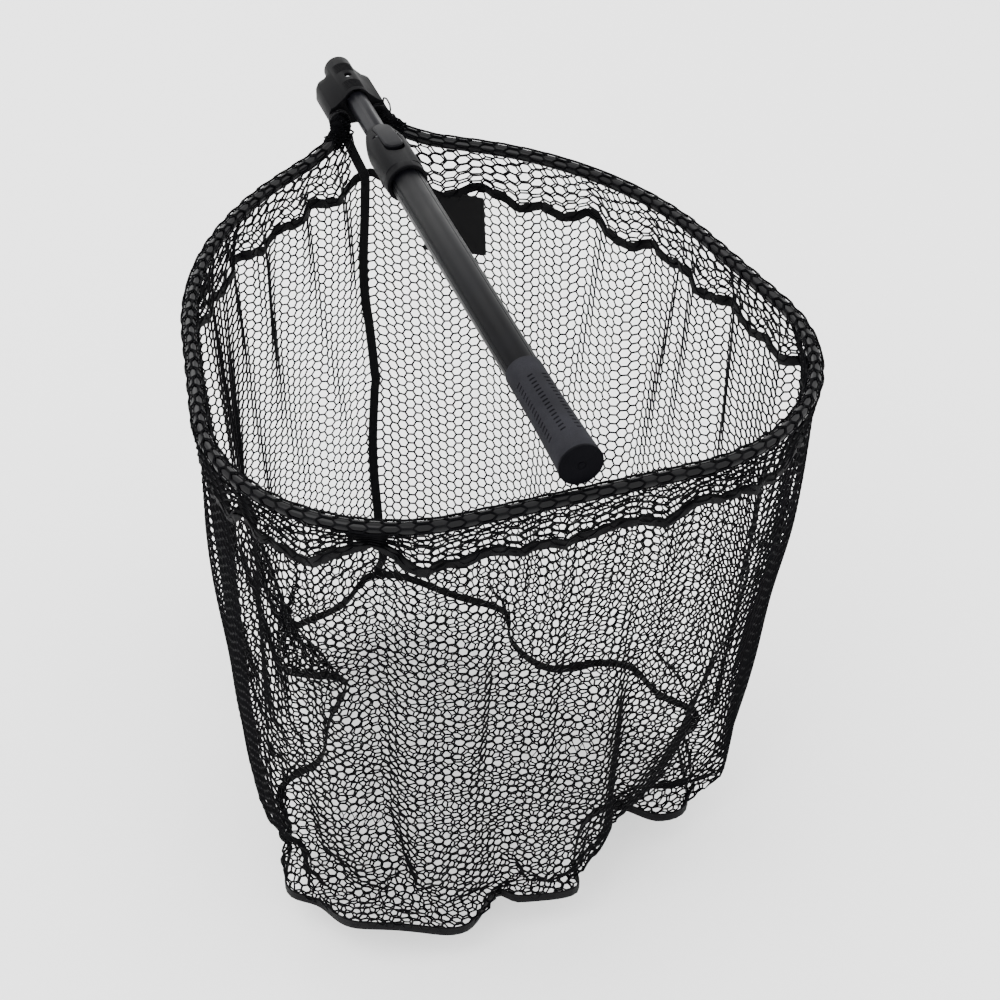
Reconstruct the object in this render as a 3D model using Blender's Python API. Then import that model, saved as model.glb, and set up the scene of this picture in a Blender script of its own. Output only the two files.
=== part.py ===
"""Landing net with its telescopic handle stowed inside the hoop.

The frame: the origin is the centre of the butt cap's flat outer face, +Y runs along the
handle from the butt to the yoke, +Z is up, and the bag hangs down. Lengths are in metres.
"""

import math

import bmesh
import bpy
from mathutils import Matrix, Vector

# ---------------------------------------------------------------- driving dimensions

FIT = 0.0003                     # gap between two pieces that touch
RUNNING = 0.0004                 # radial gap of a piece that slides in another

# Handle, from the butt towards the yoke.
CAP_THICKNESS = 0.003
CAP_PLUG_LENGTH = 0.014
CAP_RING_RADIUS = 0.0035         # moulded ring on the cap's face
CAP_RING_WIDTH = 0.0012
CAP_RING_DEPTH = 0.0006
CAP_PLUG_PLAY = 0.0012           # how much narrower the plug's tip is
GRIP_LENGTH = 0.133
GRIP_WALL = 0.00125              # over the tube, where the grip begins
GRIP_END_WALL = 0.004            # at its flared end, by the cap
GRIP_FLARE = 2.2                 # how late the grip widens, as a power
GRIP_EDGE = 0.0006
OUTER_TUBE_D = 0.032
OUTER_TUBE_WALL = 0.0015
FLUTE_DEPTH = 0.0005
FLUTE_WIDTH = 0.0011
FLUTE_SPACING = 0.0045           # between the two flutes of a pair
FLUTE_PAIRS = (72.0, -38.0, 197.0)   # degrees from +Z towards -X
INNER_TUBE_FLATS = 0.020         # octagonal tube, across its flats
INNER_TUBE_WALL = 0.0012
INNER_TUBE_START_Y = 0.040
INNER_TUBE_IN_YOKE = 0.066       # length of tube inside the yoke's barrel
SLIDER_LENGTH = 0.018

# Telescopic lock.
HOUSING_START_Y = 0.455
HOUSING_LENGTH = 0.093
HOUSING_WALL = 0.0037            # over the outer tube
HOUSING_SQUARENESS = 2.5         # power of its superelliptic section; 2 is round
HOUSING_EDGE = 0.0008
NOSE_LENGTH = 0.034
NOSE_WALL = 0.0023               # over the inner tube's passage, at the mouth
TUBE_IN_HOUSING = 0.026
LIP_LENGTH = 0.010
LIP_HEIGHT = 0.0006
BUTTON_LENGTH = 0.053
BUTTON_WIDTH = 0.0186
BUTTON_FROM_MOUTH = 0.0035
BUTTON_REAR_PROUD = 0.0015       # over the housing
BUTTON_FRONT_PROUD = 0.0019      # over the housing's mouth
BUTTON_CHAMFER = 0.0012
BUTTON_GAP = 0.0006
BUTTON_CLEARANCE = 0.0010        # under the button, in front of its pivot
BUTTON_LIFT = 0.10               # slope of its underside behind the pivot
POCKET_FLOOR_THICKNESS = 0.0016
POCKET_BEHIND_BUTTON = 0.006
PIVOT_D = 0.0025
PIVOT_WALL = 0.0008              # under the pivot's bore
PIVOT_IN_CHEEK = 0.0010
PIVOT_FROM_FRONT = 0.024
LOCK_PIN_D = 0.0036
LOCK_PIN_PLAY = 0.0009           # radial gap in the housing, as the pin tilts
LOCK_PIN_FROM_FRONT = 0.008
INDEX_HOLE_D = 0.0046
INDEX_PITCH = 0.120
INDEX_COUNT = 4
LOCK_SPRING_FROM_REAR = 0.009
LOCK_SPRING_D = 0.0062
LOCK_SPRING_WIRE = 0.0007
LOCK_SPRING_TURNS = 2.5
GUIDE_BUSH_LENGTH = 0.016
SCREW_D = 0.0030
SCREW_HEAD_D = 0.0060
SCREW_HEAD_HEIGHT = 0.0018
SCREW_RECESS_D = 0.0024
SCREW_RECESS_DEPTH = 0.0010
SCREW_FROM_START = 0.016         # the housing's screw, from the housing's end
SCREW_SUNK = 0.0005              # heads below the moulding they sit in

# Yoke.
YOKE_FRONT_Y = 0.618
YOKE_LENGTH = 0.070
BARREL_WALL = 0.0032             # over the inner tube's passage
BARREL_EDGE = 0.0022
SOCKET_WALL = 0.0024             # outside the hoop's sockets
WING_LENGTH = 0.060
WING_ROUNDING = 0.014            # length in which the wings round in at the rear
WING_RISE = 0.008                # how far their underside rises there
WING_KEEL_EDGE = 0.005           # bevel along the wings' lower edges
WING_TOP_EDGE = 0.0065           # bevel along their upper edges
WING_EDGE_DROP = 0.002           # upper edge of the wings below the handle's axis
SOCKET_FLOOR = 0.0030            # wall under the hoop's sockets
SOCKET_LENGTH = 0.034
SOCKET_SCREW_PLACE = 0.62        # along the socket, as a share
NECK_X = 0.0205                  # the hoop's ends, from the middle plane
NECK_DROP = 0.0150               # the hoop's ends, below the handle's axis
SNAP_HOLE_FROM_FRONT = 0.030
SNAP_BUTTON_D = 0.0064
SNAP_BUTTON_PROUD = 0.0023
SNAP_DOME_HEIGHT = 0.0016
SNAP_FLANGE = 0.0006             # how far its flange stands out under the tube's wall
SNAP_FLANGE_THICKNESS = 0.0010
SNAP_SPRING_WIDTH = 0.0060
SNAP_SPRING_THICKNESS = 0.0006
SNAP_SPRING_LENGTH = 0.030

# Hoop: half of its outline is a line through these corners, rounded by the radii.
HOOP_TUBE_D = 0.012
HOOP_TUBE_WALL = 0.0012
HOOP_FRONT_Y = -0.004
NECK_BEND_Y = 0.595
NECK_RADIUS = 0.030
NECK_RISE_LENGTH = 0.047         # length in which the hoop climbs to its ends
SHOULDER_X = 0.221
SHOULDER_Y = 0.463
SHOULDER_RADIUS = 0.340
CORNER_X = 0.310
CORNER_RADIUS = 0.171
RIM_CLEARANCE = 0.0010           # between the handle's widest piece and the sleeve

# Net.
SLEEVE_WALL = 0.0013
SLEEVE_END_SKEW = 0.0008         # how far the sleeve's mitred end leans
TIE_CORD_D = 0.0016
NET_WALL = 0.0020
SKIRT_DEPTH = 0.042
TAPE_WIDTH = 0.010
TAPE_THICKNESS = 0.0024
BAG_DEPTH = 0.480                # from the hoop's plane to the bottom seam
BAG_TAPER = 0.21                 # how much narrower the bottom is, as a share
BAG_TAPER_POWER = 1.2            # how late the taper comes
BAG_APEX_RADIUS = 0.040
SEAM_TAPE_THICKNESS = 0.0012
CURVE_ROOM = 0.0008              # for the curve of the net behind the seam tape
TAG_WIDTH = 0.056
TAG_HEIGHT = 0.062
TAG_X = 0.066
TAG_THICKNESS = 0.0010
TAG_STAND_OFF = 0.004            # from the net behind it

# Fineness of round shapes.
ROUND_SIDES = 32
SMALL_SIDES = 16
HOOP_SIDES = 10
BEYOND = 0.010                   # how far a cutter reaches past what it cuts
EDGE = 0.0001                    # length of a sharp step in a turned profile

# ---------------------------------------------------------------- sizes that follow

OUTER_BORE = OUTER_TUBE_D - 2 * OUTER_TUBE_WALL
CORNER_ROUNDING = 0.965          # an octagon's corners, once rounded, against sharp ones
CORNER_HALF_ANGLE = math.radians(9)
INNER_TUBE_CORNERS = INNER_TUBE_FLATS / math.cos(math.pi / 8) * CORNER_ROUNDING
INNER_PASS_D = INNER_TUBE_CORNERS + 2 * RUNNING
INNER_TUBE_END_Y = YOKE_FRONT_Y + INNER_TUBE_IN_YOKE
HOUSING_END_Y = HOUSING_START_Y + HOUSING_LENGTH
OUTER_TUBE_END_Y = HOUSING_START_Y + TUBE_IN_HOUSING
GRIP_END_D = OUTER_TUBE_D + 2 * GRIP_END_WALL
HOUSING_D = OUTER_TUBE_D + 2 * HOUSING_WALL
HOUSING_NOSE_D = INNER_PASS_D + 2 * NOSE_WALL
BARREL_D = INNER_PASS_D + 2 * BARREL_WALL
WING_HALF_WIDTH = NECK_X + HOOP_TUBE_D / 2 + SOCKET_WALL
WIDEST_HANDLE_D = max(GRIP_END_D, HOUSING_D + 2 * LIP_HEIGHT)
SLEEVE_INNER_D = HOOP_TUBE_D + 2 * FIT
SLEEVE_D = SLEEVE_INNER_D + 2 * SLEEVE_WALL
HOOP_Z = -(WIDEST_HANDLE_D / 2 + SLEEVE_D / 2 + RIM_CLEARANCE)
NECK_Z = -NECK_DROP
NECK_RISE_END_Y = NECK_BEND_Y + NECK_RADIUS / 2
BUTTON_FRONT_Y = HOUSING_END_Y - BUTTON_FROM_MOUTH
BUTTON_REAR_Y = BUTTON_FRONT_Y - BUTTON_LENGTH
BUTTON_REAR_HEIGHT = HOUSING_D / 2 + BUTTON_REAR_PROUD
BUTTON_FRONT_HEIGHT = HOUSING_NOSE_D / 2 + BUTTON_FRONT_PROUD
POCKET_FLOOR_Z = INNER_PASS_D / 2 + POCKET_FLOOR_THICKNESS
PIVOT_Y = BUTTON_FRONT_Y - PIVOT_FROM_FRONT
PIVOT_Z = POCKET_FLOOR_Z + BUTTON_CLEARANCE + PIVOT_WALL + PIVOT_D / 2 + FIT
LOCK_PIN_Y = BUTTON_FRONT_Y - LOCK_PIN_FROM_FRONT
SNAP_Y = YOKE_FRONT_Y + SNAP_HOLE_FROM_FRONT
YOKE_FLOOR_Z = NECK_Z - HOOP_TUBE_D / 2 - FIT - SOCKET_FLOOR
SKIRT_TOP_Z = HOOP_Z - SLEEVE_D / 2 - FIT
BAND_TOP_Z = SKIRT_TOP_Z - SKIRT_DEPTH - FIT
WALL_TOP_Z = BAND_TOP_Z - TAPE_WIDTH - FIT
SEAM_TOP_Z = HOOP_Z - BAG_DEPTH
BOTTOM_TOP_Z = SEAM_TOP_Z - TAPE_WIDTH - FIT


# ---------------------------------------------------------------- small helpers

def clear_scene():
    """Remove every object, so that the model starts from nothing."""
    for old in list(bpy.data.objects):
        bpy.data.objects.remove(old, do_unlink=True)


def make_material(name, colour, roughness, metallic=0.0):
    """A plain Principled material."""
    made = bpy.data.materials.new(name)
    made.use_nodes = True
    shader = made.node_tree.nodes["Principled BSDF"]
    shader.inputs["Base Color"].default_value = (*colour, 1.0)
    shader.inputs["Roughness"].default_value = roughness
    shader.inputs["Metallic"].default_value = metallic
    made.diffuse_color = (*colour, 1.0)
    return made


def add_object(name, bm, made, parent=None, sharp_angle=35.0):
    """Close a bmesh into a named, smooth-shaded object, and hang it on its parent empty."""
    bmesh.ops.recalc_face_normals(bm, faces=bm.faces)
    mesh = bpy.data.meshes.new(name)
    bm.to_mesh(mesh)
    bm.free()
    mesh.shade_smooth()
    mesh.set_sharp_from_angle(angle=math.radians(sharp_angle))
    thing = bpy.data.objects.new(name, mesh)
    bpy.context.scene.collection.objects.link(thing)
    if made:
        mesh.materials.append(made)
    if parent:
        place = parent.matrix_world.copy()
        thing.parent = parent
        thing.matrix_parent_inverse = place.inverted()
    return thing


def add_empty(name, place):
    """An empty on a joint's axis, which carries the pieces that move with that joint."""
    empty = bpy.data.objects.new(name, None)
    empty.location = place
    bpy.context.scene.collection.objects.link(empty)
    bpy.context.view_layer.update()
    return empty


def boolean(target, other, operation="DIFFERENCE"):
    """Cut or join with another object, which stays as a hidden guide."""
    step = target.modifiers.new(other.name, "BOOLEAN")
    step.operation = operation
    step.solver = "EXACT"
    step.object = other
    other.hide_render = True
    other.display_type = "WIRE"


def circle(radius, sides, turn=0.5):
    """Points (a, b) round a circle; a turn of 0.5 puts flats on the axes."""
    step = 2 * math.pi / sides
    return [(radius * math.cos((i + turn) * step), radius * math.sin((i + turn) * step))
            for i in range(sides)]


def ring_y(points, y, x=0.0, z=0.0):
    """A loop of points in a plane across the handle."""
    return [Vector((x + a, y, z + b)) for a, b in points]


def ring_z(points, z, x=0.0, y=0.0):
    """A loop of points in a level plane."""
    return [Vector((x + a, y + b, z)) for a, b in points]


def ring_x(points, x, y=0.0, z=0.0):
    """A loop of points in a plane along the handle."""
    return [Vector((x, y + a, z + b)) for a, b in points]


def skin(bm, rings, looped=False):
    """Join loops of equal length by faces, and return the loops' vertices."""
    made = [[bm.verts.new(point) for point in ring] for ring in rings]
    pairs = list(zip(made, made[1:]))
    if looped:
        pairs.append((made[-1], made[0]))
    for first, second in pairs:
        count = len(first)
        for i in range(count):
            j = (i + 1) % count
            bm.faces.new((first[i], first[j], second[j], second[i]))
    return made


def solid(rings):
    """A closed body through loops, with a flat face on each end."""
    bm = bmesh.new()
    made = skin(bm, rings)
    bm.faces.new(made[0])
    bm.faces.new(made[-1])
    return bm


def hollow(outer, inner):
    """A closed wall between an outer and an inner row of loops, open at both ends."""
    bm = bmesh.new()
    skin(bm, outer + inner[::-1], looped=True)
    return bm


def turned(profile, sides, y=0.0, x=0.0, z=0.0):
    """A ring turned about a line along Y, from a closed profile of (y, radius) points."""
    bm = bmesh.new()
    skin(bm, [ring_y(circle(r, sides), y + along, x, z) for along, r in profile], looped=True)
    return bm


def turned_solid(profile, sides, axis="Y", place=(0.0, 0.0, 0.0)):
    """A solid turned about a line along an axis, from an open profile of (along, radius)."""
    x, y, z = place
    if axis == "Y":
        rings = [ring_y(circle(r, sides), y + along, x, z) for along, r in profile]
    elif axis == "Z":
        rings = [ring_z(circle(r, sides), z + along, x, y) for along, r in profile]
    else:
        rings = [ring_x(circle(r, sides), x + along, y, z) for along, r in profile]
    return solid(rings)


def block(low, high):
    """A box between two corners."""
    corners = [(low[0], low[1]), (high[0], low[1]), (high[0], high[1]), (low[0], high[1])]
    return solid([ring_z(corners, low[2]), ring_z(corners, high[2])])


def cutter(name, bm):
    """A guide object for a Boolean."""
    return add_object(name, bm, None)


def rounded_path(corners, radii, step_angle=math.radians(9), closed=False):
    """A line through corners, each rounded by its own radius, as (x, y) points."""
    count = len(corners)
    points = []
    for i, corner in enumerate(corners):
        here = Vector(corner)
        if not closed and i in (0, count - 1):
            points.append(here)
            continue
        before = (Vector(corners[i - 1]) - here).normalized()
        after = (Vector(corners[(i + 1) % count]) - here).normalized()
        half = before.angle(after) / 2
        centre = here + (before + after).normalized() * radii[i] / math.sin(half)
        start = here + before * radii[i] / math.tan(half) - centre
        end = here + after * radii[i] / math.tan(half) - centre
        turn = start.angle_signed(end)
        steps = max(3, math.ceil(abs(turn) / step_angle))
        for k in range(steps + 1):
            points.append(centre + Matrix.Rotation(-turn * k / steps, 2) @ start)
    return points


def wall_along(path, outer_radius, inner_radius, sides, skip=0):
    """A hollow tube along the hoop's path, which may leave out a few points at each end."""
    outer, inner = [], []
    for i, point in enumerate(path):
        before = path[max(i - 1, 0)]
        after = path[min(i + 1, len(path) - 1)]
        ahead = (after - before).normalized()
        side = Vector((ahead.y, -ahead.x))
        first = (point - before).normalized() if i else ahead
        stretch = 1 / max(0.9, abs(first.dot(ahead)))
        for radius, rings in ((outer_radius, outer), (inner_radius, inner)):
            rings.append([Vector((point.x + side.x * a * stretch,
                                  point.y + side.y * a * stretch, hoop_z(point.y) + b))
                          for a, b in circle(radius, sides)])
    keep = slice(skip, len(path) - skip)
    return hollow(outer[keep], inner[keep])


def coil(radius, wire, turns, bottom, top, x, y, steps=12, sides=6):
    """A spring standing on Z: a wire along a helix, closed by a flat face on each end."""
    rings = []
    total = int(turns * steps)
    rise = (top - bottom - wire) / total
    for i in range(total + 1):
        angle = 2 * math.pi * i / steps
        out = Vector((math.cos(angle), math.sin(angle), 0))
        centre = Vector((x, y, bottom + wire / 2 + rise * i)) + out * (radius - wire / 2)
        rings.append([centre + out * a + Vector((0, 0, b)) for a, b in circle(wire / 2, sides)])
    return solid(rings)


def screw_profile(length):
    """Head and shank of a pan-head screw, from the head's top down to the tip."""
    head, shank = SCREW_HEAD_D / 2, SCREW_D / 2
    edge = SCREW_HEAD_HEIGHT / 4
    return [(0.0, head - edge), (-edge, head), (-SCREW_HEAD_HEIGHT, head),
            (-SCREW_HEAD_HEIGHT - EDGE, shank), (shank / 2 - length, shank), (-length, shank / 2)]


def screw_from_below(name, x, y, head_z, length, made, parent=None):
    """A screw whose head is at head_z and whose tip points up, with a drive recess."""
    profile = [(head_z - along, radius) for along, radius in screw_profile(length)]
    made_screw = add_object(name, turned_solid(profile, SMALL_SIDES, "Z", (x, y, 0)), made, parent)
    recess = turned_solid([(head_z - BEYOND, SCREW_RECESS_D / 2),
                           (head_z + SCREW_RECESS_DEPTH, SCREW_RECESS_D / 2)], 6, "Z", (x, y, 0))
    boolean(made_screw, cutter(name + "_recess", recess))
    return made_screw


# ---------------------------------------------------------------- outlines of the hoop and bag

def hoop_path():
    """The hoop's centre line, from one end in the yoke round to the other."""
    ends_y = YOKE_FRONT_Y + SOCKET_LENGTH - FIT
    half = [(NECK_X, ends_y), (NECK_X, NECK_BEND_Y), (SHOULDER_X, SHOULDER_Y),
            (CORNER_X, HOOP_FRONT_Y)]
    radii = [0, NECK_RADIUS, SHOULDER_RADIUS, CORNER_RADIUS]
    corners = half + [(-x, y) for x, y in half[::-1]]
    return rounded_path(corners, radii + radii[::-1])


def hoop_z(y):
    """Height of the hoop's centre line, level but for its two necks, which climb to the yoke."""
    share = max(0.0, min(1.0, 1 - (NECK_RISE_END_Y - y) / NECK_RISE_LENGTH))
    return HOOP_Z + (NECK_Z - HOOP_Z) * share ** 2 * (3 - 2 * share)


def bag_outline():
    """The closed outline on which the bag hangs, straight under the hoop."""
    slope = (NECK_BEND_Y - SHOULDER_Y) / (SHOULDER_X - NECK_X)
    apex_y = SHOULDER_Y + slope * SHOULDER_X
    corners = [(0, apex_y), (SHOULDER_X, SHOULDER_Y), (CORNER_X, HOOP_FRONT_Y),
               (-CORNER_X, HOOP_FRONT_Y), (-SHOULDER_X, SHOULDER_Y)]
    radii = [BAG_APEX_RADIUS, SHOULDER_RADIUS, CORNER_RADIUS, CORNER_RADIUS, SHOULDER_RADIUS]
    return rounded_path(corners, radii, closed=True)


def bag_scale(z):
    """How wide the bag is at a height, against its mouth."""
    depth = max(0.0, min(1.0, (HOOP_Z - z) / BAG_DEPTH))
    return 1 - BAG_TAPER * depth ** BAG_TAPER_POWER


def bag_ring(z, inset):
    """The bag's outline at a height, moved in by inset; its front wall hangs straight."""
    outline = bag_outline()
    scale = bag_scale(z)
    ring = []
    for i, point in enumerate(outline):
        before = outline[i - 1]
        after = outline[(i + 1) % len(outline)]
        ahead = (after - before).normalized()
        inward = Vector((-ahead.y, ahead.x))
        if inward.dot(Vector((0, SHOULDER_Y / 2)) - point) < 0:
            inward = -inward
        x = point.x * scale + inward.x * inset
        y = HOOP_FRONT_Y + (point.y - HOOP_FRONT_Y) * scale + inward.y * inset
        ring.append(Vector((x, y, z)))
    return ring


def bag_wall(levels, inset, thickness):
    """A wall that follows the bag through a few heights."""
    outer = [bag_ring(z, inset) for z in levels]
    inner = [bag_ring(z, inset + thickness) for z in levels]
    return hollow(outer, inner)


# ---------------------------------------------------------------- handle

def fluted_section():
    """The outer tube's section: a circle with pairs of fine flutes along it."""
    radius = OUTER_TUBE_D / 2
    half_flute = FLUTE_WIDTH / 2 / radius
    half_pair = FLUTE_SPACING / 2 / radius
    angles = {}
    for i in range(ROUND_SIDES):
        angles[round(2 * math.pi * (i + 0.5) / ROUND_SIDES, 6)] = radius
    for pair in FLUTE_PAIRS:
        for side in (-half_pair, half_pair):
            middle = (math.radians(90 + pair) + side) % (2 * math.pi)
            for old in [a for a in angles if abs(a - middle) < half_flute * 1.6]:
                del angles[old]
            angles[round(middle - half_flute, 6)] = radius
            angles[round(middle - half_flute * 0.5, 6)] = radius - FLUTE_DEPTH
            angles[round(middle + half_flute * 0.5, 6)] = radius - FLUTE_DEPTH
            angles[round(middle + half_flute, 6)] = radius
    outer, inner = [], []
    for angle in sorted(angles):
        outer.append((angles[angle] * math.cos(angle), angles[angle] * math.sin(angle)))
        inner.append((OUTER_BORE / 2 * math.cos(angle), OUTER_BORE / 2 * math.sin(angle)))
    return outer, inner


def make_handle(paint):
    """The handle's fixed pieces: outer tube, grip, cap, and the lock's housing."""
    outer, inner = fluted_section()
    start = CAP_THICKNESS + FIT
    tube = add_object("outer_tube", hollow([ring_y(outer, start), ring_y(outer, OUTER_TUBE_END_Y)],
                                           [ring_y(inner, start), ring_y(inner, OUTER_TUBE_END_Y)]),
                      paint["anodised_black"])

    bore = OUTER_TUBE_D / 2 + FIT
    end, begin = GRIP_END_D / 2, OUTER_TUBE_D / 2 + GRIP_WALL
    steps = 6
    profile = [(0.0, bore), (0.0, end - GRIP_EDGE)]
    for k in range(steps):
        share = k / steps
        along = GRIP_EDGE + (GRIP_LENGTH - 2 * GRIP_EDGE) * share
        profile.append((along, begin + (end - begin) * (1 - share) ** GRIP_FLARE))
    profile += [(GRIP_LENGTH - GRIP_EDGE, begin), (GRIP_LENGTH, begin - GRIP_EDGE),
                (GRIP_LENGTH, bore)]
    add_object("grip", turned(profile, ROUND_SIDES, start), paint["rubber_grey"])

    plug = OUTER_BORE / 2 - FIT
    tip = CAP_THICKNESS + CAP_PLUG_LENGTH
    cap = turned_solid([(0, end - GRIP_EDGE), (GRIP_EDGE, end), (CAP_THICKNESS, end),
                        (CAP_THICKNESS + EDGE, plug), (tip - CAP_PLUG_PLAY, plug),
                        (tip, plug - CAP_PLUG_PLAY)], ROUND_SIDES)
    cap = add_object("end_cap", cap, paint["cap_black"])
    inside, outside = CAP_RING_RADIUS - CAP_RING_WIDTH / 2, CAP_RING_RADIUS + CAP_RING_WIDTH / 2
    groove = turned([(-BEYOND, inside), (-BEYOND, outside), (CAP_RING_DEPTH, outside),
                     (CAP_RING_DEPTH, inside)], SMALL_SIDES)
    boolean(cap, cutter("cap_ring_groove", groove))

    bush_end = OUTER_TUBE_END_Y - FIT
    bush = turned([(bush_end - GUIDE_BUSH_LENGTH, INNER_PASS_D / 2),
                   (bush_end - GUIDE_BUSH_LENGTH, OUTER_BORE / 2 - FIT),
                   (bush_end, OUTER_BORE / 2 - FIT), (bush_end, INNER_PASS_D / 2)], ROUND_SIDES)
    add_object("guide_bush", bush, paint["nylon_black"])
    return tube


def housing_section(y):
    """Half-width and squareness of the lock housing at a place along the handle."""
    full, nose = HOUSING_D / 2, HOUSING_NOSE_D / 2
    if y < HOUSING_START_Y + LIP_LENGTH:
        return full + LIP_HEIGHT, 2.0
    share = min(1.0, (HOUSING_END_Y - y) / NOSE_LENGTH)
    half = nose + (full - nose) * math.sin(share * math.pi / 2)
    return half, 2.0 + (HOUSING_SQUARENESS - 2.0) * share


def make_housing(tube, paint):
    """The lock's housing, its screw, and the holes that both need."""
    lip_end = HOUSING_START_Y + LIP_LENGTH
    places = [HOUSING_START_Y, HOUSING_START_Y + HOUSING_EDGE, lip_end - LIP_HEIGHT, lip_end]
    places += [HOUSING_END_Y - NOSE_LENGTH * k / 5 for k in range(5, 0, -1)]
    places += [HOUSING_END_Y - HOUSING_EDGE, HOUSING_END_Y]
    rings = []
    for y in places:
        half, power = housing_section(y)
        if y in (HOUSING_START_Y, HOUSING_END_Y):
            half -= HOUSING_EDGE
        points = []
        for cos_a, sin_a in circle(1.0, ROUND_SIDES):
            size = (abs(cos_a) ** power + abs(sin_a) ** power) ** (-1 / power)
            points.append((half * size * cos_a, half * size * sin_a))
        rings.append(ring_y(points, y))
    housing = add_object("lock_housing", solid(rings), paint["moulded_black"])

    tube_seat = turned_solid([(HOUSING_START_Y - BEYOND, OUTER_TUBE_D / 2 + FIT),
                              (OUTER_TUBE_END_Y + FIT, OUTER_TUBE_D / 2 + FIT)], ROUND_SIDES)
    boolean(housing, cutter("tube_seat", tube_seat))
    passage = turned_solid([(HOUSING_START_Y, INNER_PASS_D / 2),
                            (HOUSING_END_Y + BEYOND, INNER_PASS_D / 2)], ROUND_SIDES)
    boolean(housing, cutter("inner_tube_passage", passage))

    pocket = stadium(BUTTON_WIDTH / 2 + BUTTON_GAP, BUTTON_REAR_Y - POCKET_BEHIND_BUTTON,
                     BUTTON_FRONT_Y + BUTTON_GAP)
    pocket = solid([ring_z(pocket, POCKET_FLOOR_Z), ring_z(pocket, HOUSING_D)])
    boolean(housing, cutter("button_pocket", pocket))
    pin_pass = LOCK_PIN_D / 2 + LOCK_PIN_PLAY
    pin_hole = turned_solid([(0, pin_pass), (HOUSING_D, pin_pass)],
                            SMALL_SIDES, "Z", (0, LOCK_PIN_Y, 0))
    boolean(housing, cutter("lock_pin_hole", pin_hole))
    pivot_hole = turned_solid([(-HOUSING_D, PIVOT_D / 2 + FIT), (HOUSING_D, PIVOT_D / 2 + FIT)],
                              SMALL_SIDES, "X", (0, PIVOT_Y, PIVOT_Z))
    boolean(housing, cutter("pivot_hole", pivot_hole))

    screw_y = HOUSING_START_Y + SCREW_FROM_START
    head_z = -HOUSING_D / 2 + SCREW_SUNK
    tip_z = -OUTER_BORE / 2
    shank = turned_solid([(-HOUSING_D, SCREW_D / 2 + FIT), (tip_z + SCREW_D / 2, SCREW_D / 2 + FIT)],
                         SMALL_SIDES, "Z", (0, screw_y, 0))
    shank_guide = cutter("housing_screw_hole", shank)
    sink = turned_solid([(-HOUSING_D, SCREW_HEAD_D / 2 + FIT),
                         (head_z + SCREW_HEAD_HEIGHT + FIT, SCREW_HEAD_D / 2 + FIT)],
                        SMALL_SIDES, "Z", (0, screw_y, 0))
    boolean(housing, shank_guide)
    boolean(tube, shank_guide)
    boolean(housing, cutter("housing_screw_sink", sink))
    screw_from_below("housing_screw", 0, screw_y, head_z, tip_z - head_z, paint["steel"])

    spring_y = BUTTON_REAR_Y + LOCK_SPRING_FROM_REAR
    spring_top = button_underside(spring_y) - FIT
    spring = coil(LOCK_SPRING_D / 2, LOCK_SPRING_WIRE, LOCK_SPRING_TURNS,
                  POCKET_FLOOR_Z + FIT, spring_top, 0, spring_y)
    add_object("lock_spring", spring, paint["steel"])
    side = BUTTON_WIDTH / 2 + BUTTON_GAP + PIVOT_IN_CHEEK
    pin = turned_solid([(-side, PIVOT_D / 2), (side, PIVOT_D / 2)],
                       SMALL_SIDES, "X", (0, PIVOT_Y, PIVOT_Z))
    add_object("lock_pivot_pin", pin, paint["steel"])


def stadium(half_width, low_y, high_y, steps=8):
    """A long outline with round ends."""
    points = []
    for k in range(steps + 1):
        angle = math.pi * k / steps
        points.append((half_width * math.cos(angle),
                       high_y - half_width + half_width * math.sin(angle)))
    for k in range(steps + 1):
        angle = math.pi + math.pi * k / steps
        points.append((half_width * math.cos(angle),
                       low_y + half_width + half_width * math.sin(angle)))
    return points


def pill_rows(half_width, low_y, high_y, end_steps=5, middle_steps=4):
    """Half-widths at places along a shape with round ends, as (y, half-width) rows."""
    ends = []
    for k in range(end_steps + 1):
        angle = math.radians(10) + math.radians(80) * k / end_steps
        ends.append((half_width * (1 - math.cos(angle)), half_width * math.sin(angle)))
    rows = [(low_y + along, half) for along, half in ends]
    straight = high_y - low_y - 2 * half_width
    rows += [(low_y + half_width + straight * k / middle_steps, half_width)
             for k in range(1, middle_steps)]
    return rows + [(high_y - along, half) for along, half in ends[::-1]]


def pill_ring(rows, height):
    """A loop round those rows, at a height that depends on the place."""
    right = [Vector((half, y, height(y))) for y, half in rows]
    left = [Vector((-half, y, height(y))) for y, half in rows[::-1]]
    return right + left


def button_top(y):
    """Height of the button's upper face, which falls towards the yoke."""
    share = (y - BUTTON_REAR_Y) / BUTTON_LENGTH
    return BUTTON_REAR_HEIGHT + (BUTTON_FRONT_HEIGHT - BUTTON_REAR_HEIGHT) * share ** 1.5


def button_underside(y):
    """Height of the button's lower face, which clears the pocket when it is pressed."""
    behind = max(0.0, PIVOT_Y - y)
    return POCKET_FLOOR_Z + BUTTON_CLEARANCE + behind * BUTTON_LIFT


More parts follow.
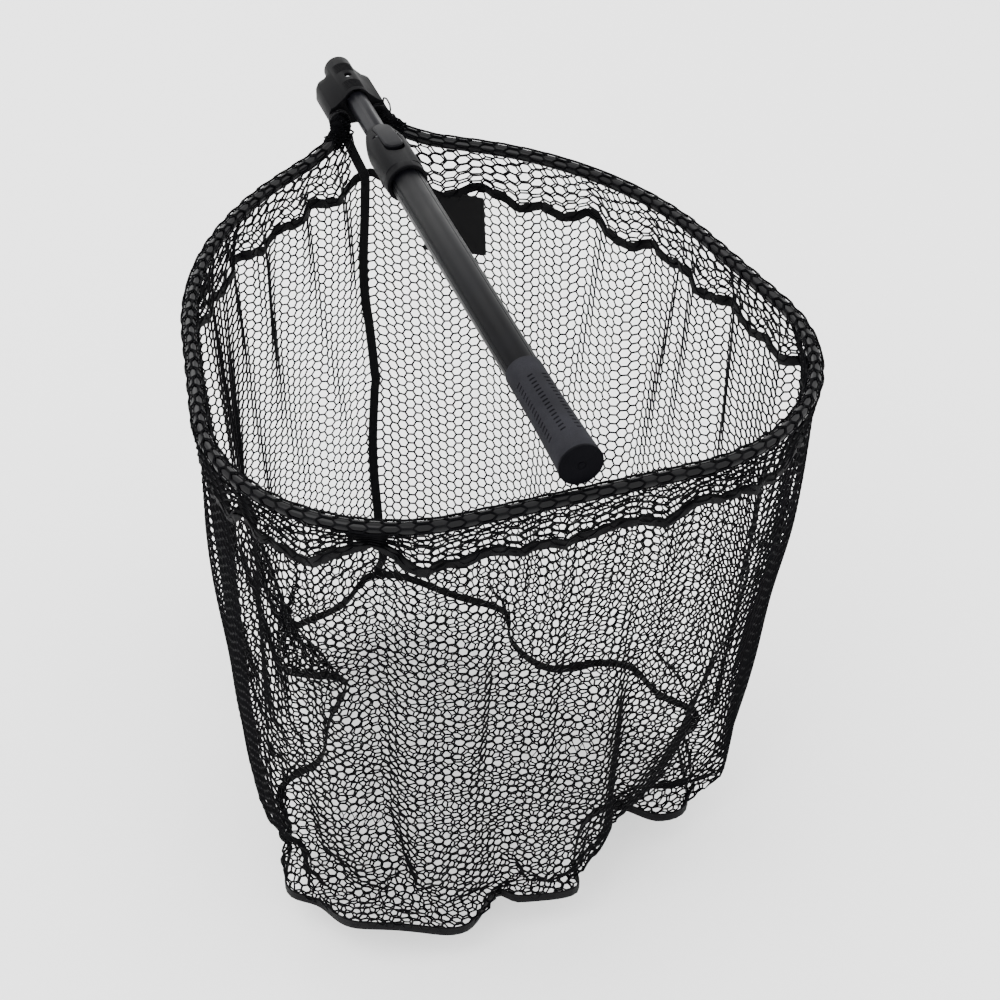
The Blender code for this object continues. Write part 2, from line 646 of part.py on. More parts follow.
def make_lock_lever(paint):
    """The rocking button on its pivot, and the lock pin that it lifts."""
    hub = add_empty("lock_lever_pivot", (0, PIVOT_Y, PIVOT_Z))
    rows = pill_rows(BUTTON_WIDTH / 2, BUTTON_REAR_Y, BUTTON_FRONT_Y)
    inset = pill_rows(BUTTON_WIDTH / 2 - BUTTON_CHAMFER, BUTTON_REAR_Y + BUTTON_CHAMFER,
                      BUTTON_FRONT_Y - BUTTON_CHAMFER)
    bm = bmesh.new()
    made = skin(bm, [pill_ring(rows, button_underside),
                     pill_ring(rows, lambda y: button_top(y) - BUTTON_CHAMFER),
                     pill_ring(inset, button_top)])
    for face in (made[0], made[-1]):
        last = len(face) - 1
        for i in range(len(rows) - 1):
            bm.faces.new((face[i], face[i + 1], face[last - i - 1], face[last - i]))
    button = add_object("lock_button", bm, paint["button_grey"], hub)
    bore = turned_solid([(-BUTTON_WIDTH, PIVOT_D / 2 + FIT), (BUTTON_WIDTH, PIVOT_D / 2 + FIT)],
                        SMALL_SIDES, "X", (0, PIVOT_Y, PIVOT_Z))
    boolean(button, cutter("button_pivot_bore", bore))
    pin_top = button_underside(LOCK_PIN_Y) - FIT
    tip = INNER_TUBE_FLATS / 2 + FIT
    pin = turned_solid([(tip, LOCK_PIN_D / 2 - FIT), (tip + FIT, LOCK_PIN_D / 2),
                        (pin_top, LOCK_PIN_D / 2)], SMALL_SIDES, "Z", (0, LOCK_PIN_Y, 0))
    add_object("lock_pin", pin, paint["steel"], hub)


# ---------------------------------------------------------------- inner tube

def octagon(flats, rounding, per_corner=3):
    """An octagon with rounded corners, given across its flats."""
    corner = flats / 2 / math.cos(math.pi / 8)
    points = []
    for i in range(8):
        middle = math.pi / 4 * (i + 0.5)
        for k in range(per_corner):
            share = (k / (per_corner - 1) - 0.5) * 2
            angle = middle + share * CORNER_HALF_ANGLE
            flat_limit = flats / 2 / math.cos(math.pi / 8 - abs(share) * CORNER_HALF_ANGLE)
            radius = min(flat_limit, corner * rounding)
            points.append((radius * math.cos(angle), radius * math.sin(angle)))
    return points


def make_inner_tube(paint):
    """The octagonal tube that slides in the handle, its end slider and its snap spring."""
    slide = add_empty("telescopic_slide", (0, OUTER_TUBE_END_Y, 0))
    outer = octagon(INNER_TUBE_FLATS, CORNER_ROUNDING)
    inner = octagon(INNER_TUBE_FLATS - 2 * INNER_TUBE_WALL, CORNER_ROUNDING)
    ends = (INNER_TUBE_START_Y, INNER_TUBE_END_Y)
    tube = add_object("inner_tube", hollow([ring_y(outer, y) for y in ends],
                                           [ring_y(inner, y) for y in ends]),
                      paint["anodised_grey"], slide)
    low, high = INNER_TUBE_FLATS / 4, INNER_TUBE_FLATS
    for i in range(INDEX_COUNT):
        hole = turned_solid([(low, INDEX_HOLE_D / 2), (high, INDEX_HOLE_D / 2)], SMALL_SIDES, "Z",
                            (0, LOCK_PIN_Y - i * INDEX_PITCH, 0))
        boolean(tube, cutter(f"index_hole_{i + 1}", hole))
    snap_hole = turned_solid([(low, SNAP_BUTTON_D / 2 + FIT), (high, SNAP_BUTTON_D / 2 + FIT)],
                             SMALL_SIDES, "Z", (0, SNAP_Y, 0))
    boolean(tube, cutter("snap_hole", snap_hole))

    groove_r = INNER_TUBE_CORNERS / 2 + FIT
    low_y = INNER_TUBE_START_Y
    slider = turned([(low_y, groove_r), (low_y, OUTER_BORE / 2 - RUNNING),
                     (low_y + SLIDER_LENGTH, OUTER_BORE / 2 - RUNNING),
                     (low_y + SLIDER_LENGTH, groove_r)], ROUND_SIDES)
    add_object("inner_tube_slider", slider, paint["nylon_black"], slide)

    roof = INNER_TUBE_FLATS / 2 - INNER_TUBE_WALL
    flange_top = roof - 2 * FIT
    flange_low = flange_top - SNAP_FLANGE_THICKNESS
    snap = add_empty("snap_button_slide", (0, SNAP_Y, roof))
    snap.parent = slide
    snap.matrix_parent_inverse = slide.matrix_world.inverted()
    bpy.context.view_layer.update()
    shoulder = INNER_TUBE_FLATS / 2 + SNAP_BUTTON_PROUD - SNAP_DOME_HEIGHT
    radius = SNAP_BUTTON_D / 2
    profile = [(flange_low, radius + SNAP_FLANGE), (flange_top, radius + SNAP_FLANGE),
               (flange_top + EDGE, radius)]
    for degrees in (0, 28, 56, 80):
        angle = math.radians(degrees)
        profile.append((shoulder + SNAP_DOME_HEIGHT * math.sin(angle), radius * math.cos(angle)))
    add_object("snap_button", turned_solid(profile, SMALL_SIDES, "Z", (0, SNAP_Y, 0)),
               paint["chrome"], snap)

    thick = SNAP_SPRING_THICKNESS
    top, bottom = flange_low - FIT, FIT - roof
    pad = SNAP_BUTTON_D * 0.6
    fold = 4 * thick
    back, front = SNAP_Y + pad, SNAP_Y - SNAP_SPRING_LENGTH
    outline = [(back, top), (back, top - thick), (SNAP_Y - pad, top - thick),
               (front + 2 * fold, bottom + 2 * fold), (front + thick, bottom + fold),
               (front + fold, bottom + thick), (SNAP_Y, bottom + thick), (SNAP_Y, bottom),
               (front + fold, bottom), (front, bottom + fold),
               (front + 2 * fold - thick, bottom + 2 * fold + thick), (SNAP_Y - pad - thick, top)]
    half = SNAP_SPRING_WIDTH / 2
    spring = solid([ring_x(outline, -half), ring_x(outline, half)])
    add_object("snap_spring", spring, paint["steel"], slide)
    return slide


# ---------------------------------------------------------------- head: yoke and hoop

def wing_half_width(y):
    """Half-width of the yoke's wings, which round in towards the barrel at the rear."""
    share = max(0.0, 1 - (YOKE_FRONT_Y + WING_LENGTH - y) / WING_ROUNDING)
    narrow = BARREL_D / 2 + FIT
    return narrow + (WING_HALF_WIDTH - narrow) * math.sqrt(max(0.0, 1 - share ** 2))


def make_yoke(head, paint):
    """The moulded yoke: barrel and wings, with its bore, sockets, snap hole and screws."""
    edge_z = -WING_EDGE_DROP
    rings = []
    steps = 6
    places = [YOKE_FRONT_Y]
    places += [YOKE_FRONT_Y + WING_LENGTH - WING_ROUNDING * (1 - k / steps)
               for k in range(steps + 1)]
    for y in places:
        half = wing_half_width(y)
        rise = WING_RISE * (WING_HALF_WIDTH - half) / (WING_HALF_WIDTH - BARREL_D / 2)
        low = YOKE_FLOOR_Z + rise
        keel, brow = WING_KEEL_EDGE, WING_TOP_EDGE
        right = [(half - keel, low), (half - keel * 0.3, low + keel * 0.3), (half, low + keel),
                 (half, edge_z - brow), (half - brow * 0.3, edge_z - brow * 0.3),
                 (half - brow, edge_z), (BARREL_D * 0.36, BARREL_D * 0.31)]
        rings.append(ring_y(right + [(-a, b) for a, b in right[::-1]], y))
    yoke = add_object("yoke", solid(rings), paint["moulded_black"], head)

    rear = YOKE_FRONT_Y + YOKE_LENGTH
    barrel_r = BARREL_D / 2
    barrel = turned_solid([(YOKE_FRONT_Y, barrel_r), (rear - BARREL_EDGE, barrel_r),
                           (rear - BARREL_EDGE * 0.3, barrel_r - BARREL_EDGE * 0.3),
                           (rear, barrel_r - BARREL_EDGE)], ROUND_SIDES)
    boolean(yoke, cutter("yoke_barrel", barrel), "UNION")
    bore = turned_solid([(YOKE_FRONT_Y - BEYOND, INNER_PASS_D / 2),
                         (rear + BEYOND, INNER_PASS_D / 2)], ROUND_SIDES)
    boolean(yoke, cutter("yoke_bore", bore))

    groove_half = SNAP_BUTTON_D / 2 + 2 * FIT
    groove_top = INNER_TUBE_FLATS / 2 + SNAP_BUTTON_PROUD + 2 * FIT
    groove = block((-groove_half, YOKE_FRONT_Y - BEYOND, 0), (groove_half, SNAP_Y, groove_top))
    boolean(yoke, cutter("snap_lead_in", groove))
    hole = turned_solid([(0, groove_half), (BARREL_D, groove_half)], SMALL_SIDES, "Z",
                        (0, SNAP_Y, 0))
    boolean(yoke, cutter("yoke_snap_hole", hole))

    socket_r = HOOP_TUBE_D / 2 + FIT
    screw_y = YOKE_FRONT_Y + SOCKET_LENGTH * SOCKET_SCREW_PLACE
    head_z = YOKE_FLOOR_Z + SCREW_SUNK
    length = NECK_Z - HOOP_TUBE_D / 2 + 2 * HOOP_TUBE_WALL - head_z
    shanks = []
    for side, sign in (("left", -1), ("right", 1)):
        x = NECK_X * sign
        socket = turned_solid([(YOKE_FRONT_Y - BEYOND, socket_r),
                               (YOKE_FRONT_Y + SOCKET_LENGTH, socket_r)], ROUND_SIDES,
                              "Y", (x, 0, NECK_Z))
        boolean(yoke, cutter(f"hoop_socket_{side}", socket))
        shank = turned_solid([(YOKE_FLOOR_Z - BEYOND, SCREW_D / 2 + FIT),
                              (head_z + length + FIT, SCREW_D / 2 + FIT)],
                             SMALL_SIDES, "Z", (x, screw_y, 0))
        shanks.append(cutter(f"hoop_screw_hole_{side}", shank))
        boolean(yoke, shanks[-1])
        sink = turned_solid([(YOKE_FLOOR_Z - BEYOND, SCREW_HEAD_D / 2 + FIT),
                             (head_z + SCREW_HEAD_HEIGHT + FIT, SCREW_HEAD_D / 2 + FIT)],
                            SMALL_SIDES, "Z", (x, screw_y, 0))
        boolean(yoke, cutter(f"hoop_screw_sink_{side}", sink))
        screw_from_below(f"hoop_screw_{side}", x, screw_y, head_z, length, paint["steel"], head)
    return shanks


def make_hoop(head, shanks, paint):
    """The bent hoop tube, whose ends sit in the yoke's sockets."""
    hoop = wall_along(hoop_path(), HOOP_TUBE_D / 2, HOOP_TUBE_D / 2 - HOOP_TUBE_WALL,
                      HOOP_SIDES)
    hoop = add_object("hoop_tube", hoop, paint["gloss_black"], head)
    for guide in shanks:
        boolean(hoop, guide)


# ---------------------------------------------------------------- net

def make_net(head, paint):
    """The net's pieces: sleeve on the hoop, skirt, band, wall, seams, bottom, tag and ties."""
    path = hoop_path()
    sleeve = wall_along(path, SLEEVE_D / 2, SLEEVE_INNER_D / 2, HOOP_SIDES, skip=1)
    add_object("net_sleeve", sleeve, paint["net"], head)

    tie_r = HOOP_TUBE_D / 2 + FIT + TIE_CORD_D / 2
    tie_y = path[1].y + SLEEVE_END_SKEW + FIT + TIE_CORD_D / 2
    for side, x in (("left", -NECK_X), ("right", NECK_X)):
        loop = [(a, tie_r + b) for a, b in circle(TIE_CORD_D / 2, 6)]
        add_object(f"tie_cord_{side}", turned(loop, SMALL_SIDES, tie_y, x, NECK_Z),
                   paint["cord"], head)

    skirt = bag_wall([SKIRT_TOP_Z, SKIRT_TOP_Z - SKIRT_DEPTH], 0.0, NET_WALL)
    add_object("net_skirt", skirt, paint["net"], head)
    band = bag_wall([BAND_TOP_Z, BAND_TOP_Z - TAPE_WIDTH], -FIT, TAPE_THICKNESS)
    add_object("top_band_tape", band, paint["tape"], head)
    drop = WALL_TOP_Z - SEAM_TOP_Z - FIT
    levels = [WALL_TOP_Z - drop * k / 5 for k in range(6)]
    add_object("net_wall", bag_wall(levels, 0.0, NET_WALL), paint["net"], head)
    seam = bag_wall([SEAM_TOP_Z, SEAM_TOP_Z - TAPE_WIDTH], -FIT, TAPE_THICKNESS)
    add_object("bottom_seam_tape", seam, paint["tape"], head)
    floor = solid([bag_ring(BOTTOM_TOP_Z, 0), bag_ring(BOTTOM_TOP_Z - NET_WALL, 0)])
    add_object("net_bottom", floor, paint["net"], head)

    half = TAPE_WIDTH / 2
    rings = []
    for z in [WALL_TOP_Z - FIT] + levels[1:-1] + [levels[-1] + FIT]:
        y = max(point.y for point in bag_ring(z, NET_WALL)) - FIT - CURVE_ROOM
        rings.append([Vector(p) for p in ((-half, y, z), (half, y, z),
                                          (half, y - SEAM_TAPE_THICKNESS, z),
                                          (-half, y - SEAM_TAPE_THICKNESS, z))])
    add_object("vertical_seam_tape", solid(rings), paint["tape"], head)

    top = BAND_TOP_Z - TAG_STAND_OFF
    tag_y = wall_y_at(TAG_X + TAG_WIDTH / 2, top) - TAG_STAND_OFF
    slope = (wall_y_at(TAG_X + TAG_WIDTH / 2, top)
             - wall_y_at(TAG_X - TAG_WIDTH / 2, top)) / TAG_WIDTH
    rings = []
    for z in (top, top - TAG_HEIGHT):
        lean = (1 - bag_scale(z) / bag_scale(top)) * SHOULDER_Y
        ring = []
        for x, back in ((-1, 0), (1, 0), (1, 1), (-1, 1)):
            across = x * TAG_WIDTH / 2
            y = tag_y + slope * (across - TAG_WIDTH / 2) - lean - back * TAG_THICKNESS
            ring.append(Vector((TAG_X + across, y, z)))
        rings.append(ring)
    add_object("label_tag", solid(rings), paint["tag"], head)


def wall_y_at(x, z):
    """Where the inside of the bag's back wall is, at a distance from the middle plane."""
    ring = bag_ring(z, TAPE_THICKNESS)
    for i, first in enumerate(ring):
        second = ring[(i + 1) % len(ring)]
        low, high = sorted((first.x, second.x))
        if low <= x <= high and high > low and min(first.y, second.y) > SHOULDER_Y / 2:
            share = (x - first.x) / (second.x - first.x)
            return first.y + (second.y - first.y) * share
    return SHOULDER_Y


# ---------------------------------------------------------------- build

def build():
    """Make every piece."""
    clear_scene()
    paint = {
        "anodised_black": make_material("anodised_black", (0.035, 0.035, 0.040), 0.38, 0.85),
        "anodised_grey": make_material("anodised_grey", (0.070, 0.070, 0.075), 0.36, 0.85),
        "gloss_black": make_material("gloss_black", (0.010, 0.010, 0.011), 0.22),
        "moulded_black": make_material("moulded_black", (0.045, 0.045, 0.048), 0.55),
        "button_grey": make_material("button_grey", (0.090, 0.090, 0.096), 0.50),
        "rubber_grey": make_material("rubber_grey", (0.075, 0.075, 0.080), 0.70),
        "cap_black": make_material("cap_black", (0.015, 0.014, 0.018), 0.60),
        "nylon_black": make_material("nylon_black", (0.030, 0.030, 0.032), 0.50),
        "steel": make_material("steel", (0.55, 0.55, 0.57), 0.30, 1.0),
        "chrome": make_material("chrome", (0.80, 0.80, 0.82), 0.10, 1.0),
        "net": make_material("net", (0.020, 0.020, 0.024), 0.60),
        "tape": make_material("tape", (0.012, 0.012, 0.018), 0.80),
        "tag": make_material("tag", (0.010, 0.010, 0.012), 0.75),
        "cord": make_material("cord", (0.025, 0.025, 0.028), 0.75),
    }
    tube = make_handle(paint)
    make_housing(tube, paint)
    make_lock_lever(paint)
    slide = make_inner_tube(paint)
    head = add_empty("head_slide", (0, YOKE_FRONT_Y, 0))
    head.parent = slide
    head.matrix_parent_inverse = slide.matrix_world.inverted()
    bpy.context.view_layer.update()
    shanks = make_yoke(head, paint)
    make_hoop(head, shanks, paint)
    make_net(head, paint)


build()
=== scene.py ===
# %% [markdown]
# This is a landing net with its telescopic handle stowed across the hoop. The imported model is
# the fixed frame: its solids hold every size, joint and mount. The cells below replace the
# plain net solids with real netting, bindings and a cloth tag, give the mouldings and tubes
# finer edges, and make every finish as nodes.

# %% Load the frame
import math

import bpy
import numpy as np
from mathutils import Matrix, Vector


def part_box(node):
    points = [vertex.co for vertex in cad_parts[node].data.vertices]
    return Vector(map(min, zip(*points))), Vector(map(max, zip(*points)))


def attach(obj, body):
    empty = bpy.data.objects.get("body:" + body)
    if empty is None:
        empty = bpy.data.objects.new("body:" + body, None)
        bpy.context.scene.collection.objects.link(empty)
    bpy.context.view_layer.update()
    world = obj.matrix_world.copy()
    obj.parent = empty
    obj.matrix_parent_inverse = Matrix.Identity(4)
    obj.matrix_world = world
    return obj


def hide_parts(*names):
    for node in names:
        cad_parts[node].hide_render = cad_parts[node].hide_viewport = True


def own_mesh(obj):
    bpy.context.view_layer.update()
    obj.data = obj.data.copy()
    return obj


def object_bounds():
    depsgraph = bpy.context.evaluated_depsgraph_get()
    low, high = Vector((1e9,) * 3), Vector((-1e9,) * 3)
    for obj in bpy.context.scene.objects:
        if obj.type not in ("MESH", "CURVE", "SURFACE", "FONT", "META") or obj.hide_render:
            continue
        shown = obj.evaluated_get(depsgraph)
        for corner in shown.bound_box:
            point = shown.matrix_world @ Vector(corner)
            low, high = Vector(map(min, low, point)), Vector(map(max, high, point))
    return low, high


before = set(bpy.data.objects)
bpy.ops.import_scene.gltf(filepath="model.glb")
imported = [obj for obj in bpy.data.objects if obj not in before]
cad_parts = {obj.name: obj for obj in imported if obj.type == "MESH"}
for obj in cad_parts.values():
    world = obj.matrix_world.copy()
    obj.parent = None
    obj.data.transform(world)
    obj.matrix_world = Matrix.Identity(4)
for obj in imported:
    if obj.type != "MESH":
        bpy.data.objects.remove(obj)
CAD_BOX = [list(corner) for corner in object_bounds()]
print("the frame's box:", CAD_BOX)


# %% [markdown]
# The camera looks down into the hoop from the butt's side, with a long lens, so the handle
# keeps nearly the same width along its length. Its axes are worked out from three angles.

# %% Camera
def camera_turn(azimuth, elevation, roll):
    """The camera's axes as a matrix, from its three angles in degrees."""
    azimuth, elevation, roll = (math.radians(a) for a in (azimuth, elevation, roll))
    ahead = Vector((-math.sin(azimuth) * math.cos(elevation),
                    math.cos(azimuth) * math.cos(elevation), -math.sin(elevation)))
    level = Vector((math.cos(azimuth), math.sin(azimuth), 0))
    up = level.cross(ahead)
    right = level * math.cos(roll) + up * math.sin(roll)
    top = up * math.cos(roll) - level * math.sin(roll)
    return Matrix((right, top, -ahead)).transposed()


CAMERA_PLACE = Vector((-0.620, -1.478, 1.2656))
CAMERA_ANGLES = (-20.39, 39.14, 0.98)
LENS_MM, SENSOR_MM = 90, 36
bpy.ops.object.camera_add(location=CAMERA_PLACE)
camera = bpy.context.object
camera.matrix_world = Matrix.Translation(CAMERA_PLACE) @ camera_turn(*CAMERA_ANGLES).to_4x4()
camera.data.lens = LENS_MM
camera.data.sensor_width = SENSOR_MM
bpy.context.scene.camera = camera


# %% [markdown]
# Materials are built from nodes. Three small helpers are enough: one turns a colour's hex code
# into linear light, one adds a node with its settings and links, and one starts a material.

# %% Material helpers
def linear(code):
    """An sRGB hex colour as linear red, green, blue and alpha."""
    parts = [int(code[i:i + 2], 16) / 255 for i in (0, 2, 4)]
    return [p / 12.92 if p <= 0.04045 else ((p + 0.055) / 1.055) ** 2.4 for p in parts] + [1.0]


def add_node(tree, kind, settings=None, links=None):
    """A shader node, with its settings and what is plugged into it."""
    made = tree.nodes.new(kind)
    for name, value in (settings or {}).items():
        if isinstance(name, int) or name in made.inputs:
            made.inputs[name].default_value = value
        else:
            setattr(made, name, value)
    for name, source in (links or {}).items():
        tree.links.new(source, made.inputs[name])
    return made


def start_material(name, sockets):
    """A new material, its node tree and its shader, with values on the shader's own sockets."""
    made = bpy.data.materials.new(name)
    made.use_nodes = True
    shader = made.node_tree.nodes["Principled BSDF"]
    for socket, value in sockets.items():
        shader.inputs[socket].default_value = value
    return made, made.node_tree, shader


# %% [markdown]
# The floor is a plain pale sheet just under the bag, and the light is that of a white studio:
# a bright surround, a wide soft lamp above the left and weaker ones at the right and the back.

# %% Floor and lights
FLOOR_GAP = 0.034
FLOOR_SIZE = 14
LAMPS = [("key_lamp", (-1.6, -0.6, 2.6), 2.2, 60), ("fill_lamp", (2.2, 0.2, 1.8), 2.0, 14),
         ("back_lamp", (-0.4, 2.6, 1.6), 1.6, 22)]
AIM = Vector((0, 0.3, -0.1))
SURROUND = 2.8
bpy.ops.mesh.primitive_plane_add(size=FLOOR_SIZE, location=(0, 0, CAD_BOX[0][2] - FLOOR_GAP))
floor = bpy.context.object
floor.name = "pale_floor"
paper = start_material("white_studio_paper", {"Base Color": linear("F7F7F7"), "Roughness": 0.9})
floor.data.materials.append(paper[0])
for lamp_name, place, width, watts in LAMPS:
    bpy.ops.object.light_add(type="AREA", location=place)
    lamp = bpy.context.object
    lamp.name = lamp_name
    lamp.data.size = width
    lamp.data.energy = watts
    lamp.rotation_euler = (AIM - Vector(place)).to_track_quat("-Z", "Y").to_euler()
world = bpy.data.worlds.new("white_studio")
world.use_nodes = True
surround = world.node_tree.nodes["Background"]
surround.inputs["Color"].default_value = (1, 1, 1, 1)
surround.inputs["Strength"].default_value = SURROUND
bpy.context.scene.world = world


# %% [markdown]
# Most hard finishes share one recipe: broad patches for colour and gloss, and a fine grain that
# is felt more than seen. The dark ones have a far lower specular level, and the tubes far less
# metallic, than is typical for them, so that they stay as dark as the real ones do in this
# bright surround.

# %% Grained finishes
PATCH_MM = 26


def grained(name, sockets, dark, light, rough, grain_mm, bump_mm, stretch=(1, 1, 1)):
    """A surface with a fine grain in its height, and broad patches in its colour and gloss."""
    made, tree, shader = start_material(name, sockets)
    place = add_node(tree, "ShaderNodeTexCoord").outputs["Object"]
    scaled = add_node(tree, "ShaderNodeMapping", {"Scale": stretch}, {"Vector": place})
    patches = add_node(tree, "ShaderNodeTexNoise", {"Scale": 1000 / PATCH_MM, "Detail": 4.0},
                       {"Vector": place})
    grain = add_node(tree, "ShaderNodeTexNoise", {"Scale": 1000 / grain_mm, "Detail": 3.0},
                     {"Vector": scaled.outputs["Vector"]})
    both = add_node(tree, "ShaderNodeMath", {"operation": "MULTIPLY"},
                    {0: patches.outputs["Fac"], 1: grain.outputs["Fac"]})
    share = add_node(tree, "ShaderNodeMapRange", {"From Min": 0.12, "From Max": 0.40},
                     {"Value": both.outputs["Value"]})
    colour = add_node(tree, "ShaderNodeMixRGB", {"Color1": linear(dark), "Color2": linear(light)},
                      {"Fac": share.outputs["Result"]})
    gloss = add_node(tree, "ShaderNodeMapRange", {"To Min": rough[0], "To Max": rough[1]},
                     {"Value": share.outputs["Result"]})
    height = add_node(tree, "ShaderNodeBump", {"Strength": 0.6, "Distance": bump_mm / 1000},
                      {"Height": grain.outputs["Fac"]})
    tree.links.new(colour.outputs["Color"], shader.inputs["Base Color"])
    tree.links.new(gloss.outputs["Result"], shader.inputs["Roughness"])
    tree.links.new(height.outputs["Normal"], shader.inputs["Normal"])
    return made


# %% [markdown]
# The tubes are drawn aluminium, anodised. Drawing leaves hair lines along the tube, so the
# grain is stretched far along Y; anodising makes the metal dark and satin, not shiny.

# %% Anodised aluminium
tube_black = grained("black_anodised_aluminium", {"Metallic": 0.05, "Specular IOR Level": 0.05},
                     "020203", "060609", (0.30, 0.42), 0.5, 0.02, (1, 0.02, 1))
tube_grey = grained("grey_anodised_aluminium", {"Metallic": 0.08, "Specular IOR Level": 0.06},
                    "08080B", "101014", (0.30, 0.42), 0.5, 0.02, (1, 0.02, 1))

# %% [markdown]
# The hoop is aluminium under a gloss black powder coat. Powder flows out like thick paint,
# which leaves a soft orange peel about 2 mm across and a faint reflection of the lamps.

# %% Powder coat
powder_black = grained("gloss_black_powder_coat", {"Specular IOR Level": 0.12, "Coat Weight": 0.03,
                                                   "Coat Roughness": 0.10},
                       "030304", "070709", (0.16, 0.24), 2.0, 0.05)

# %% [markdown]
# The yoke and the lock's housing are glass-filled nylon from a spark-eroded mould, which gives
# a dull sand-like grain of about half a millimetre. The button is smoother.

# %% Moulded plastics
nylon_black = grained("moulded_black_nylon", {"IOR": 1.53, "Specular IOR Level": 0.04},
                      "040405", "09090B", (0.46, 0.60), 0.45, 0.06)
nylon_dark = grained("turned_black_nylon", {"IOR": 1.53}, "0E0E10", "1A1A1C", (0.45, 0.60),
                     0.6, 0.03)
button_plastic = grained("satin_abs", {"IOR": 1.54, "Specular IOR Level": 0.05},
                         "060608", "0D0D10", (0.38, 0.50), 0.5, 0.02)
cap_plastic = grained("matt_cap_plastic", {"IOR": 1.5, "Specular IOR Level": 0.02},
                      "030305", "08080B", (0.52, 0.66), 0.5, 0.05)

# %% [markdown]
# The grip is moulded thermoplastic rubber: no gloss at all, a faint bloom that makes it paler
# than the tube, and a very fine grain.

# %% Grip rubber
grip_rubber = grained("moulded_grip_rubber", {"IOR": 1.52, "Specular IOR Level": 0.03},
                      "161619", "232327", (0.64, 0.78), 0.6, 0.08)

# %% [markdown]
# Small metal: chromed brass on the snap button, zinc-plated steel on screws, pins and springs.

# %% Bright metals
chrome = grained("polished_chrome", {"Metallic": 1.0}, "C9CACC", "E6E7E9", (0.06, 0.12), 1.5,
                 0.005)
zinc_steel = grained("zinc_plated_steel", {"Metallic": 1.0}, "9A9B9E", "C4C5C8", (0.26, 0.38),
                     0.4, 0.02)

# %% [markdown]
# The netting is a knotless polyester cord dipped in rubber. The coat is nearly black with very
# little gloss, and it is thicker in some places, so its roughness and colour wander along it.

# %% Net coating
net_coat = grained("rubber_coated_net_cord", {"IOR": 1.5, "Specular IOR Level": 0.02},
                   "030304", "08080A", (0.40, 0.56), 1.2, 0.10)


# %% [markdown]
# The bindings are woven tape, and the ties are braided cord. Their pattern follows the piece,
# so it reads the piece's own UV map, which is in metres along and round it. Tape shows fine
# ribs across its length; a braid shows slanting strands. Real yarns are 0.3 mm; they are drawn
# about one and a half to two and a half times as coarse, so that they show. A Wave texture
# repeats 20 / (2 pi) times its scale in a metre, so the ribs repeat at 0.63 of the size given.

# %% Woven finishes
def woven(name, dark, light, ribs_mm, slant, rough, sheen):
    """Woven yarn: two sets of ribs over the piece's own map, as height and shade."""
    made, tree, shader = start_material(name, {"Roughness": rough, "Sheen Weight": sheen,
                                               "Sheen Roughness": 0.4, "IOR": 1.5,
                                               "Specular IOR Level": 0.08})
    place = add_node(tree, "ShaderNodeTexCoord").outputs["UV"]
    heights = []
    for turn, size in ((slant, ribs_mm), (slant + math.pi / 2, ribs_mm * 1.6)):
        turned = add_node(tree, "ShaderNodeMapping", {"Rotation": (0, 0, turn)},
                          {"Vector": place})
        ribs = add_node(tree, "ShaderNodeTexWave",
                        {"Scale": 500 / size, "Distortion": 0.6, "Detail": 1.0},
                        {"Vector": turned.outputs["Vector"]})
        heights.append(ribs.outputs["Fac"])
    weave = add_node(tree, "ShaderNodeMath", {"operation": "MULTIPLY"},
                     {0: heights[0], 1: heights[1]})
    colour = add_node(tree, "ShaderNodeMixRGB", {"Color1": linear(dark), "Color2": linear(light)},
                      {"Fac": weave.outputs["Value"]})
    height = add_node(tree, "ShaderNodeBump", {"Strength": 0.7, "Distance": 0.0002},
                      {"Height": weave.outputs["Value"]})
    tree.links.new(colour.outputs["Color"], shader.inputs["Base Color"])
    tree.links.new(height.outputs["Normal"], shader.inputs["Normal"])
    return made


binding_weave = woven("woven_polyester_binding", "020203", "07070A", 0.7, 0.0, 0.75, 0.04)
tag_weave = woven("woven_satin_label", "020203", "060608", 0.6, 0.0, 0.55, 0.20)
cord_braid = woven("braided_polyester_cord", "040405", "0E0E11", 0.8, 0.6, 0.70, 0.05)


# %% [markdown]
# Every new piece is finished in the same way: it gets its material, the body that it rides on
# and the plain solids that it stands for.

# %% Finishing a piece
def only(piece):
    """Select this piece and nothing else, and make it the active one."""
    bpy.ops.object.select_all(action="DESELECT")
    bpy.context.view_layer.objects.active = piece
    piece.select_set(True)


def finish_piece(piece, material, slot, body, *stands_for, smooth=35):
    """Give a new piece its shading, material, body and the solids that it replaces; slot is not
    used.
    """
    only(piece)
    bpy.ops.object.shade_smooth_by_angle(angle=math.radians(smooth))
    piece.data.materials.clear()
    piece.data.materials.append(material)
    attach(piece, body)
    if stands_for:
        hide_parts(*stands_for)
    return piece


def apply_all(piece):
    """Apply the piece's modifiers, first to last."""
    only(piece)
    for step in list(piece.modifiers):
        bpy.ops.object.modifier_apply(modifier=step.name)


def joined(pieces):
    """Join several pieces into the first one."""
    only(pieces[0])
    for piece in pieces:
        piece.select_set(True)
    bpy.ops.object.join()
    return bpy.context.object


def new_piece(name, points, faces):
    """An object with a mesh of its own, from points and faces."""
    mesh = bpy.data.meshes.new(name)
    mesh.from_pydata(points.tolist(), [], faces)
    piece = bpy.data.objects.new(name, mesh)
    bpy.context.scene.collection.objects.link(piece)
    return piece


# %% [markdown]
# The mouldings and turned pieces have the right shape already, but their edges are knife
# sharp, and a real edge is never sharp: it catches a line of light. A copy of each solid is
# welded, its flat facets are joined, and its edges get a small round bevel.

